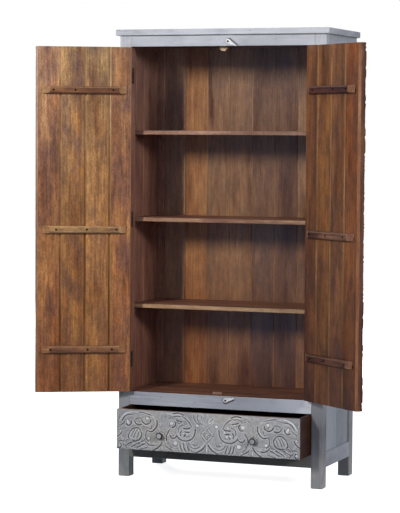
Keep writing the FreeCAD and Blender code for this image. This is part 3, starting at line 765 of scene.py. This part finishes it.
def brush(field, line, half, rise, form, ditch, bottom, weight=1.0, polish=0.0):
    line = np.asarray(line, float)
    half = np.interp(np.linspace(0, 1, len(line)), np.linspace(0, 1, len(half)), half)
    reach = half.max() + rimReach * ditch
    c0, c1 = np.searchsorted(field["us"], (line[:, 0].min() - reach, line[:, 0].max() + reach))
    r0, r1 = np.searchsorted(field["vs"], (line[:, 1].min() - reach, line[:, 1].max() + reach))
    if c0 == c1 or r0 == r1:
        return
    u = field["us"][None, c0:c1]
    v = field["vs"][r0:r1, None]
    near = np.full((r1 - r0, c1 - c0), 1e9)
    side = np.zeros_like(near)
    for i in range(len(line) - 1):
        a = line[i]
        d = line[i + 1] - a
        t = np.clip(((u - a[0]) * d[0] + (v - a[1]) * d[1]) / max(d @ d, 1e-9), 0, 1)
        du = u - a[0] - t * d[0]
        dv = v - a[1] - t * d[1]
        w = np.maximum(half[i] + (half[i + 1] - half[i]) * t, 0.01)
        far = np.hypot(du, dv)
        closer = far - w < near
        near = np.where(closer, far - w, near)
        side = np.where(closer, np.sign(d[0] * dv - d[1] * du) * far / w, side)
    height, cut, shine = [field[key][r0:r1, c0:c1] for key in ("rise", "cut", "polish")]
    inside = near <= 0
    moat = (near > 0) & (near < ditch)
    fade = near[moat] / ditch
    height[moat] = bottom + (height[moat] - bottom) * fade  # the chisel line round each stroke
    cut[moat] = np.maximum(cut[moat], weight * (1 - fade))
    height[inside] = rise * form(np.clip(side[inside], -1, 1))
    cut[inside] = 0
    rim = (near >= ditch) & (near < rimReach * ditch)
    shine[rim] = np.maximum(shine[rim], rimShine * weight)  # pale edges along each cut: painted highlight with rubbed paint
    shine[inside] = polish * (1 - side[inside] ** 2)


def smoothLine(points):
    per = 7  # short lines for each part of a stroke
    pts = np.asarray(points, float)
    if len(pts) < 3:
        return pts[0] + (pts[1] - pts[0]) * np.linspace(0, 1, per)[:, None]
    pad = np.vstack((2 * pts[0] - pts[1], pts, 2 * pts[-1] - pts[-2]))
    out = []
    for i in range(1, len(pad) - 2):
        a, b, c, d = pad[i - 1:i + 3]
        for t in np.linspace(0, 1, per, endpoint=False):
            out.append(0.5 * (2 * b + (c - a) * t + (2 * a - 5 * b + 4 * c - d) * t ** 2
                              + (3 * b - a - 3 * c + d) * t ** 3))
    out.append(pts[-1])
    return np.array(out)


def draw(points, half, rise, form, weight, polish=0.0):
    relief = pen["relief"]
    bottom = relief * (ground + (grooveFloor - ground) * weight)
    wobble = pen["hand"].uniform(-0.8, 0.8, 2)  # no two strokes of a hand carver sit quite alike
    line = [pen["place"](p + wobble[0], q + wobble[1]) for p, q in smoothLine(points)]
    widths = [w * pen["scale"] for w in half]
    ditch = pen["ditch"] * (0.6 + 0.4 * weight)
    brush(pen["field"], line, widths, relief * rise, form, ditch, bottom, weight, polish * pen["rub"])


# a bead with painted highlight and rubbed paint on its top
def bead(p, q, radius):
    draw([(p, q), (p + 0.2, q)], [1.2 * radius, 1.2 * radius], 1.0, roundForm, 0.6, 1.0)


def leaf(base, tip, width, bend=0.0, rise=0.86, weight=0.36):
    base = np.array(base, float)
    tip = np.array(tip, float)
    middle = (base + tip) / 2 + bend * np.array((base[1] - tip[1], tip[0] - base[0]))
    draw([base, middle, tip], [width * s for s in (0.3, 0.8, 1.0, 0.85, 0.2)], rise, veinForm, weight)
    score([base + 0.2 * (tip - base), middle, base + 0.85 * (tip - base)], 0.9 * weight)  # midrib


def fan(base, first, last, count, length, width, rise, weight):
    for i in range(count):
        share = i / (count - 1) * 2 - 1
        angle = math.radians(first + (last - first) * i / (count - 1))
        long = length * (1 - 0.16 * share * share)
        tip = (base[0] + long * math.sin(angle), base[1] + long * math.cos(angle))
        leaf(base, tip, width, 0.08 * share, rise, weight)


def score(points, weight):
    draw(points, [0.1, 0.1], 0.4, flatForm, weight)


def ridge(points, half, polish):  # a pale line along an edge: painted highlight with rubbed paint
    draw(points, [0.35 * half, half, half, 0.35 * half], 0.98, roundForm, 0.0, polish)


def lozenge():
    for side in (-1, 1):
        leaf((side * 2, 36), (side * 10, -4), 5, 0.1 * side)
        score([(side * 1, 40), (side * 11, 26), (side * 20, 16), (side * 32, 8), (side * 45, 1)], 1.0)
        ridge([(side * 4, 45), (side * 14, 32), (side * 26, 21), (side * 37, 15)], 1.9, 0.5)
    fan((0, 100), -64, 64, 7, 58, 8, 0.86, 0.38)
    for angle in (-0.62, 0.3, 0.85):  # pale ridges of three petals: painted highlight with rubbed paint
        way = np.array((math.sin(angle), math.cos(angle)))
        ridge([(0, 100) + 22 * way, (0, 100) + 44 * way], 1.8, 0.6)
    ridge([(6, 116), (16, 123), (28, 131)], 2.2, 0.8)
    score([(-57, 151), (-53, 132), (-45, 121), (-30, 112)], 0.75)
    score([(-38, 152), (-41, 136), (-34, 122), (-20, 112)], 0.65)
    score([(-22, 150), (-24, 136), (-16, 118)], 0.55)
    score([(14, 152), (22, 138), (16, 124)], 0.5)
    leaf((0, 46), (0, -4), 5.5, 0.0, 0.95)
    ridge([(0, 34), (0, 4)], 2.2, 0.7)
    outer = [(0, 46), (24, 74), (0, 102), (-24, 74), (0, 46)]
    inner = [(0, 60), (11, 75), (0, 90), (-11, 75), (0, 60)]
    draw([(0, 54), (0, 96)], [6, 16, 6], 0.6, flatForm, 0.5)
    for outline, half, weight in ((outer, 4.2, 0.7), (inner, 2.6, 0.6)):
        for a, b in zip(outline, outline[1:]):
            draw([a, b], [half, half], 0.74, roundForm, weight)
    ridge([(-3, 76), (3, 74)], 3.0, 0.5)


def innerScroll():
    for base, tip in (((124, 46), (106, -2)), ((109, 44), (90, -2)), ((95, 40), (74, 2))):
        leaf(base, tip, 8, 0.1, 0.8, 0.55)
    for p in (84, 100, 114):  # gouged edges of those leaves
        score([(p, 36), (p - 3, 20), (p - 9, 5)], 0.85)
        ridge([(p + 6, 34), (p + 3, 19), (p - 2, 7)], 1.7, 0.4)
    draw([(5, 42), (15, 29), (28, 18), (44, 13), (59, 17), (68, 29), (69, 42)],
         [5, 9, 11, 11, 9, 5], 0.78, bandForm, 0.35)
    score([(30, 26), (44, 18), (59, 18), (72, 26), (78, 38)], 0.6)
    score([(38, 47), (39, 38), (45, 31), (54, 31), (59, 37)], 0.65)
    leaf((176, 40), (140, 4), 12, 0.12, 0.78, 0.4)
    leaf((160, 44), (126, 16), 9, 0.1, 0.76, 0.4)
    score([(190, 38), (179, 27), (170, 17), (157, 9), (142, 3)], 1.0)
    score([(166, 38), (160, 24), (148, 14)], 0.7)
    draw([(172, 146), (150, 149), (126, 145), (106, 136), (92, 122), (80, 108)],
         [4, 8, 11, 14, 16, 14], 0.8, plateForm, 0.35)
    draw([(90, 84), (90.3, 84)], [39, 39], 0.76, plateForm, 0.35)  # eye of the scroll
    score([(49, 95), (50, 81), (54, 69), (61, 58), (73, 50), (88, 46), (102, 47), (114, 52), (123, 59),
          (129, 67)], 1.0)
    score([(66, 101), (73, 114), (82, 125), (94, 135), (108, 143)], 0.7)
    score([(99, 146), (108, 150), (119, 153), (132, 153), (143, 150)], 0.95)
    score([(112, 140), (126, 141), (139, 138), (150, 130)], 0.7)
    ridge([(62, 106), (69, 119), (78, 129), (90, 138), (99, 144)], 1.7, 0.4)
    for line, weight in (  # cuts inside the eye
        (((106, 121), (118, 122), (130, 127)), 0.95),
        (((112, 113), (122, 114), (130, 118)), 0.6),
        (((70, 99), (76, 96), (88, 94), (98, 95)), 0.95),
        (((74, 81), (84, 80), (93, 82)), 0.85),
        (((90, 71), (94, 67), (97, 62)), 0.95),
        (((72, 66), (79, 63), (87, 62)), 0.6),
        (((106, 85), (112, 76), (109, 66)), 0.8),
        (((102, 107), (114, 101), (121, 90), (120, 77)), 0.7),
    ):
        score(line, weight)
    for p, q, s in ((75, 87, 3.6), (83, 72, 4.2), (99, 74, 4.0), (88, 107, 3.0), (116, 118, 2.4)):
        ridge([(p - 4, q + 1), (p + 4, q - 1)], s, 0.9)
    leaf((158, 74), (130, 62), 9, 0.0, 0.8, 0.4)
    score([(127, 66), (133, 57), (142, 53), (151, 56), (157, 64)], 0.95)
    score([(137, 67), (147, 64)], 0.5)
    draw([(150, 111), (150.3, 111)], [13, 13], 0.74, plateForm, 0.3)
    score([(137, 121), (131, 113), (134, 104), (139, 99), (147, 97)], 0.95)
    leaf((160, 142), (184, 112), 10, 0.12, 0.8, 0.4)
    score([(154, 134), (163, 132), (170, 127)], 0.85)
    score([(171, 138), (180, 127), (188, 114)], 0.75)
    ridge([(176, 138), (185, 127), (192, 116)], 1.8, 0.4)
    leaf((180, 96), (160, 80), 9, 0.0, 0.82, 0.4)
    score([(158, 86), (162, 79), (167, 70), (171, 61), (171, 51), (169, 43)], 1.0)
    ridge([(167, 92), (174, 86)], 3.0, 0.6)
    for p, q, s in ((133, 34, 8.0), (149, 111, 7.0), (40, 108, 6.0)):
        bead(p, q, s)
    ridge([(54, 41), (62, 36)], 3.4, 0.35)


def knobLeaf():
    fan((194, 96), -40, 40, 5, 60, 7, 0.82, 0.4)
    for p in (-1, 1):
        leaf((194 + 4 * p, 38), (194 + 15 * p, -4), 7, 0.1 * p, 0.8, 0.4)
        leaf((194 + 8 * p, 70), (194 + 24 * p, 96), 11, 0.12 * p, 0.8, 0.4)
    leaf((191, 34), (191, -4), 5, 0.0, 0.95, 0.6)
    ridge([(190, 20), (190, 2)], 2.8, 0.6)
    draw([(192, 61.5), (192.2, 61.5)], [14, 14], 0.8, flatForm, 0.9)


def budScroll():
    draw([(206, 18), (225, 9), (255, 6), (290, 8), (322, 15), (350, 29), (366, 50)],
         [5, 11, 12, 12, 11, 9, 4], 0.78, plateForm, 0.35)
    for base, tip in (((262, 30), (306, 8)), ((290, 32), (332, 14)), ((322, 38), (352, 28))):
        leaf(base, tip, 8, 0.12, 0.82, 0.6)
    for p, q in ((262, 26), (284, 29), (310, 33)):
        score([(p, q), (p + 19, q - 9), (p + 36, q - 20)], 0.85)
        ridge([(p + 12, q), (p + 24, q - 7), (p + 36, q - 13)], 1.7, 0.45)
    draw([(198, 36), (210, 30), (226, 28), (243, 30), (255, 40)], [4, 8, 9, 8, 4], 0.8, bandForm, 0.3)
    score([(190, 36), (196, 24), (206, 14), (215, 7), (229, 0)], 1.0)
    score([(224, 20), (236, 20), (246, 24), (254, 30), (259, 38)], 0.85)
    score([(254, 78), (257, 70), (259, 57), (255, 44), (247, 36)], 0.95)
    score([(261, 48), (267, 38), (279, 33)], 0.85)
    score([(250, 12), (270, 4), (284, 1)], 0.5)
    score([(340, 4), (347, 11), (356, 20)], 0.75)
    ridge([(197, 33), (206, 21), (217, 12), (231, 6)], 1.9, 0.45)
    ridge([(206, 31), (219, 28), (234, 29)], 3.2, 0.3)
    draw([(237, 108), (262, 121), (298, 125), (334, 118), (358, 98)],
         [22, 28, 30, 28, 18], 0.72, plateForm, 0.3)
    draw([(247, 80), (237, 79), (227, 84), (219, 94), (216, 106), (218, 119), (226, 131), (240, 140),
         (259, 146), (280, 149), (302, 149), (324, 145), (343, 137), (357, 125), (368, 109)],
         [3, 6, 7, 7, 7, 7, 6, 6, 6, 4], 0.84, bandForm, 0.3)
    score([(212, 119), (210, 106), (213, 95), (219, 86), (227, 78), (237, 74), (249, 77)], 1.0)
    score([(233, 100), (235, 90), (241, 84)], 0.7)
    score([(230, 137), (244, 142), (259, 145), (274, 149), (288, 149)], 0.75)
    score([(318, 139), (334, 138), (346, 132), (354, 124), (360, 113)], 0.75)
    ridge([(216, 114), (217, 102), (223, 91), (233, 82)], 2.4, 0.5)
    ridge([(220, 125), (226, 133), (237, 139)], 2.2, 0.5)
    ridge([(314, 152), (328, 148), (341, 142), (352, 136), (359, 129), (366, 120), (374, 110)], 4.0, 1.0)
    draw([(256, 120), (256.3, 120)], [17, 17], 0.8, plateForm, 0.3)  # volute round the upper bead
    score([(237, 123), (239, 112), (247, 106), (258, 103), (268, 108), (275, 117)], 1.0)
    score([(245, 114), (255, 112)], 0.6)
    score([(276, 122), (283, 126), (294, 126), (304, 120)], 0.65)
    leaf((276, 111), (308, 112), 9, 0.0, 0.84, 0.3)
    score([(278, 102), (291, 99), (302, 104), (308, 114)], 0.95)
    draw([(334, 108), (334.3, 108)], [15, 15], 0.78, plateForm, 0.3)
    score([(321, 112), (322, 104), (327, 97), (335, 94), (343, 99)], 0.95)
    score([(350, 108), (358, 101), (370, 93)], 0.7)
    draw([(286, 72), (304, 62), (329, 48)], [12, 21, 23, 19, 5], 0.84, plateForm, 0.4)  # bud
    score([(282, 78), (292, 85), (303, 86), (315, 81), (325, 72), (331, 60), (334, 48), (330, 42)], 0.9)
    score([(282, 78), (277, 68), (276, 60), (280, 49), (286, 41), (295, 36), (306, 34), (315, 37)], 1.0)
    score([(285, 76), (290, 62), (296, 46)], 0.55)
    score([(294, 80), (303, 64), (310, 46)], 0.55)
    score([(306, 80), (315, 66), (322, 50)], 0.55)
    draw([(394, 10), (378, 4), (366, 8), (363, 19), (372, 27)], [6, 7, 6, 4], 0.82, bandForm, 0.4)
    score([(366, 21), (363, 11), (369, 3), (381, 4)], 0.95)
    score([(352, 31), (366, 33), (377, 28)], 0.75)
    draw([(394, 42), (381, 46), (371, 56), (367, 68)], [8, 8, 6, 3], 0.8, bandForm, 0.4)
    score([(360, 70), (364, 62), (371, 55), (382, 46), (394, 43)], 0.95)
    leaf((394, 104), (371, 78), 10, 0.0, 0.8, 0.5)
    draw([(394, 152), (382, 142), (376, 122)], [10, 9, 4], 0.8, bandForm, 0.4)
    for p, q, s in ((252, 126, 6.5), (245, 47, 6.0), (368, 70, 4.0), (370, 13, 4.5)):
        bead(p, q, s)
    draw([(331, 103), (337, 114)], [5, 7, 5], 1.0, roundForm, 0.6, 1.0)


def scrollHalf():
    innerScroll()
    knobLeaf()
    budScroll()


def soften(grid, reach):
    for _ in range(2):
        for axis in (0, 1):
            pads = [(0, 0), (0, 0)]
            pads[axis] = (reach + 1, reach)
            total = np.cumsum(np.pad(grid, pads, mode="edge"), axis=axis)
            ahead = np.take(total, range(2 * reach + 1, total.shape[axis]), axis=axis)
            behind = np.take(total, range(total.shape[axis] - 2 * reach - 1), axis=axis)
            grid = (ahead - behind) / (2 * reach + 1)
    return grid


def settle(field, relief, seed):
    hand = np.random.default_rng(seed)
    height = field["rise"]
    u = field["us"][None, :]
    v = field["vs"][:, None]
    for _ in range(7):  # shallow gouge marks that are not quite even
        angle = hand.uniform(0, math.pi)
        wave = hand.uniform(9, 26)
        across = (u * math.cos(angle) + v * math.sin(angle)) / wave
        height += 0.012 * relief * np.sin(across * 2 * math.pi + hand.uniform(0, 6))
    edge = np.pad(height, 1, mode="edge")
    beside = edge[:-2, 1:-1] + edge[2:, 1:-1] + edge[1:-1, :-2] + edge[1:-1, 2:]
    height[:] = (4 * height + beside) / 8  # dulls the finest arrises
    np.clip(height, 0, relief, out=height)
    proud = 1.3 * (height - soften(height, 5)) + 0.7 * (height - soften(height, 14))
    field["worn"] = np.clip(0.5 + proud / relief, 0, 1)  # 1 where the carving stands proud, 0 in its hollows: drives rubbed paint with painted highlight and painted shade with dirt


def show(name, data):
    thing = bpy.data.objects.new(name, data)
    scene.collection.objects.link(thing)
    return thing


def carvedSolid(name, field, relief, backLine, toPlace, mats):
    us, vs, height = field["us"], field["vs"], field["rise"]
    rows, cols = height.shape
    spots = [toPlace(us[c], vs[r], relief - height[r, c]) for r in range(rows) for c in range(cols)]
    backStart = len(spots)
    spots += [toPlace(u, v, depth) for v in (vs[0], vs[-1]) for u, depth in backLine]
    below = range(backStart, backStart + len(backLine))
    above = range(below.stop, below.stop + len(backLine))
    faces = [(r * cols + c, r * cols + c + 1, (r + 1) * cols + c + 1, (r + 1) * cols + c)
             for r in range(rows - 1) for c in range(cols - 1)]
    gridCount = len(faces)
    faces.append([*range(cols), *below])
    faces.append([*range((rows - 1) * cols, rows * cols), *above])
    faces.append([*range(0, rows * cols, cols), above[-1], below[-1]])
    faces.append([*range(cols - 1, rows * cols, cols), above[0], below[0]])
    faces += [(below[i], below[i + 1], above[i + 1], above[i]) for i in range(len(backLine) - 1)]
    mesh = bpy.data.meshes.new(name)
    mesh.from_pydata(spots, [], faces)
    lay(mesh, mats)
    for i, face in enumerate(mesh.polygons):
        face.use_smooth = i < gridCount
        face.material_index = 0 if i < gridCount else 1
    for mark in carvedMarks:
        data = np.zeros(len(spots), np.float32)
        data[:backStart] = field[mark].ravel()
        mesh.attributes.new(mark, "FLOAT", "POINT").data.foreach_set("value", data)
    work = bmesh.new()
    work.from_mesh(mesh)
    bmesh.ops.recalc_face_normals(work, faces=work.faces)
    work.to_mesh(mesh)
    work.free()
    return show(name, mesh)


carvedLook = {
    "shade": (163, 160, 159),
    "base": (181, 178, 175),
    "warm": (185, 178, 167),
    # deep and groove: painted shade with dirt in hollows and cuts; rub: rubbed paint and painted highlights
    "deep": (112, 108, 106),
    "groove": (36, 32, 30),
    "rub": (246, 244, 240),
    "chalk": (198, 196, 194),
    "wood": (96, 80, 68),
}
boardEdge = stainedWood(
    "carvedBoardEdge", shades((49, 29, 18), (88, 54, 35), (124, 82, 54), (67, 42, 29)), seed=80,
    rubShare=0.5, shine=0.12)
drawerCarving = {
    "step": 1.25,  # mm between points
    "relief": 7.0,  # mm from the deepest cut to the highest carving
    "ditch": 3.4,  # mm, width of the cut round each form
    "lap": 12.0,  # mm of the ends that covers the drawer sides
    "thick": 24.0,
    "dullSide": 0.5,  # the left half gets weaker rubbed paint and painted highlights than the right
    # darker towards the left end: painted shade with dirt
    "dim": (-0.39, 0.05, 0.78),
    "seed": 5,
}


def startCarving(look, wide, tall, scale):
    field = makeField(wide, tall, look["step"], look["relief"])
    hand = np.random.default_rng(look["seed"])
    pen.update(field=field, scale=scale, relief=look["relief"], ditch=look["ditch"], hand=hand, rub=1.0)
    return field


def carveDrawer():
    look = drawerCarving
    low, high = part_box("drawer_front")
    wide, tall = (high.x - low.x) * 1000, (high.z - low.z) * 1000
    field = startCarving(look, wide, tall, 1.0)
    for side, rub in ((-1, look["dullSide"]), (1, 1.0)):
        pen.update(rub=rub, place=lambda p, q: (wide / 2 + side * p, q))
        scrollHalf()
    pen["place"] = lambda p, q: (wide / 2 + p, q)
    lozenge()
    settle(field, look["relief"], look["seed"])
    lap, thick = look["lap"], look["thick"]
    backLine = [(wide, lap), (wide - lap, lap), (wide - lap, thick), (lap, thick), (lap, lap), (0, lap)]
    piece = carvedSolid("carved_drawer_front", field, look["relief"], backLine,
                        lambda u, v, depth: (low.x + u / 1000, low.y + depth / 1000, low.z + v / 1000),
                        [carvedPaint("drawerCarvedPaint", dim=look["dim"]), boardEdge])
    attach(piece, "drawer")
    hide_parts("drawer_front")
    print("drawer front carved:", len(piece.data.polygons), "faces")


doorCarving = {
    "step": 2.4,
    "relief": 8.0,
    "ditch": 4.2,
    "thick": 14.0,
    "wide": 380.5,
    "low": 350.0,  # foot of the door above the ground
    "high": 1729.0,
    "hingeEdge": -382.0,  # of the left door when it is shut
    "front": -204.0,
    "axis": (-383.5, -207.5),
    "knob": (320.5, 690.0),  # from the hinge edge and the foot
    "knobSeat": 19.0,  # radius of the flat under the knob
    "ribHalf": 5.0,  # half width of the rib down the middle
    "drawnTall": 159.0,  # the scroll's own height, as drawn for the drawer
    "drawnRepeat": 780.0,  # from one pair of scrolls to the next, as drawn
    "seed": 9,
}


def carveDoor(side):
    look = doorCarving
    wide, tall = look["wide"], look["high"] - look["low"]
    scale = wide / 2 / look["drawnTall"]
    field = startCarving(look, wide, tall, scale)
    for edge, inward in ((0, 1), (wide, -1)):
        for up in (-1, 1):
            for start, way in ((0, 1), (look["drawnRepeat"], -1)):
                pen["place"] = lambda p, q: (
                    edge + inward * q * scale, tall / 2 + up * (start + way * p) * scale)
                scrollHalf()
        pen["place"] = lambda p, q: (edge + inward * q * scale, tall / 2 + p * scale)
        lozenge()
    relief, ditch, rib = look["relief"], look["ditch"], look["ribHalf"]
    brush(field, [(wide / 2, 0), (wide / 2, tall)], [rib, rib], 0.8 * relief, roundForm, ditch, 1)
    across, up = look["knob"]
    seat = [look["knobSeat"]] * 2
    brush(field, [(across, up), (across + 0.2, up)], seat, relief, flatForm, ditch, 1)
    settle(field, relief, look["seed"])
    mirror = 1 if side == "left" else -1
    axis = Vector((look["axis"][0] * mirror, look["axis"][1], 0))
    swing = Matrix.Rotation(doorLook[side]["turn"], 3, "Z")

    def toPlace(u, v, depth):
        shut = Vector(((look["hingeEdge"] + u) * mirror, look["front"] + depth, look["low"] + v))
        return (swing @ (shut - axis) + axis) / 1000
    backLine = [(wide, look["thick"]), (0, look["thick"])]
    piece = carvedSolid(side + "_door_carving", field, relief, backLine, toPlace,
                        [carvedPaint(side + "CarvedPaint", run="z"), boardEdge])
    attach(piece, side + "_door")
    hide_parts(side + "_door_carved_panel")
    print(side, "door carved:", len(piece.data.polygons), "faces")


carveDrawer()
carveDoor("left")
carveDoor("right")


# floor, light and camera
studio = {
    "floorSize": 40.0,
    "floorTone": (0.25, 0.25, 0.25, 1),
    "floorGlow": 0.86,
    "floorShade": (0.9, 0.9, 0.9, 1),  # what shadows take from the white floor
    "fill": 0.33,
    "fillColour": (0.64, 0.83, 1.25, 1),
    "keyPlace": (-1.9, -8.9, 4.16),
    "keyAim": (-0.3, -0.2, 1.55),
    "keyPower": 2750,
    "keyRadius": 0.3,
    "keyLifts": (-0.72, -0.36, 0.0, 0.36, 0.72),  # a tall narrow light: soft under shelves, crisp beside posts
    "keyCone": 24,  # degrees
    "sidePlace": (5.9, -3.3, 2.6),
    "sideAim": (0.1, 0.0, 1.0),
    "sidePower": 155,
    "sideColour": (1.0, 0.95, 0.9),
    "sideSize": 1.0,
    "rearPlace": (-5.2, 6.6, 3.0),  # shows the back and the left side, which the other lamps miss
    "rearAim": (0.0, 0.0, 0.9),
    "rearPower": 420,
    "rearColour": (1.0, 0.95, 0.88),
    "rearSize": 2.0,
}


def seenMix(unseen, seen):
    rays = put("LightPath").outputs
    both = calc("MAXIMUM", rays["Is Camera Ray"], rays["Is Glossy Ray"])
    ray = calc("MAXIMUM", both, rays["Is Transmission Ray"])
    return put("MixShader", {0: ray, 1: unseen.outputs[0], 2: seen.outputs[0]}).outputs[0]


def hang(lamp, place, aim):
    holder = show(lamp.name, lamp)
    holder.location = place
    holder.rotation_euler = (Vector(aim) - holder.location).to_track_quat("-Z", "Y").to_euler()
    return holder


def setStudio():
    mesh = bpy.data.meshes.new("studio_floor")
    half = studio["floorSize"] / 2
    corners = [(-half, -half, 0), (half, -half, 0), (half, half, 0), (-half, half, 0)]
    mesh.from_pydata(corners, [], [(0, 1, 2, 3)])
    floor = show("studio_floor", mesh)
    mat = bpy.data.materials.new("floorPaper")
    newTree(mat)
    plain = put("BsdfDiffuse", {"Color": studio["floorTone"]})
    glow = put("Emission", {"Color": (1, 1, 1, 1), "Strength": studio["floorGlow"]})
    shadow = put("BsdfDiffuse", {"Color": studio["floorShade"]})
    white = put("AddShader", {0: glow.outputs[0], 1: shadow.outputs[0]})
    put("OutputMaterial", {"Surface": seenMix(plain, white)})
    mesh.materials.append(mat)

    scene.world = bpy.data.worlds.new("studioWorld")
    newTree(scene.world)
    fill = put("Background", {"Color": studio["fillColour"], "Strength": studio["fill"]})
    white = put("Background", {"Color": (1, 1, 1, 1), "Strength": 1.0})
    put("OutputWorld", {"Surface": seenMix(fill, white)})

    for number, lift in enumerate(studio["keyLifts"], 1):
        lamp = bpy.data.lights.new("keyLamp" + str(number), "SPOT")
        lamp.energy = studio["keyPower"] / len(studio["keyLifts"])
        lamp.shadow_soft_size = studio["keyRadius"]
        lamp.spot_size = math.radians(studio["keyCone"])
        lamp.spot_blend = 1.0
        key = hang(lamp, Vector(studio["keyPlace"]) + Vector((0, 0, lift)), studio["keyAim"])
        key.visible_glossy = False  # a large soft source, so no hot spot on the stain
    for name in ("side", "rear"):
        lamp = bpy.data.lights.new(name + "Lamp", "AREA")
        lamp.shape = "DISK"
        lamp.size = studio[name + "Size"]
        lamp.energy = studio[name + "Power"]
        lamp.color = studio[name + "Colour"]
        hang(lamp, studio[name + "Place"], studio[name + "Aim"])
    print("studio set")


shot = {
    "place": (2.9106, -8.0880, 1.3795),
    "yaw": -0.3630977,  # radians from straight ahead
    "pitch": -0.0569002,
    "roll": 0.0067485,
    "lens": 149.19,  # mm
    "film": 36,  # mm, its long side
    "farthest": 100,
}


def setCamera():
    camera = bpy.data.cameras.new("shot")
    camera.lens = shot["lens"]
    camera.sensor_width = shot["film"]
    camera.clip_end = shot["farthest"]
    yaw, pitch, roll = shot["yaw"], shot["pitch"], shot["roll"]
    ahead = Vector((math.sin(yaw) * math.cos(pitch), math.cos(yaw) * math.cos(pitch), math.sin(pitch)))
    right = Vector((math.cos(yaw), -math.sin(yaw), 0))
    up = right.cross(ahead)
    across = right * math.cos(roll) + up * math.sin(roll)
    upright = up * math.cos(roll) - right * math.sin(roll)
    view = Matrix((across, upright, -ahead)).transposed().to_4x4()
    view.translation = Vector(shot["place"])
    scene.camera = show("shot", camera)
    scene.camera.matrix_world = view
    print("camera set")


setStudio()
setCamera()
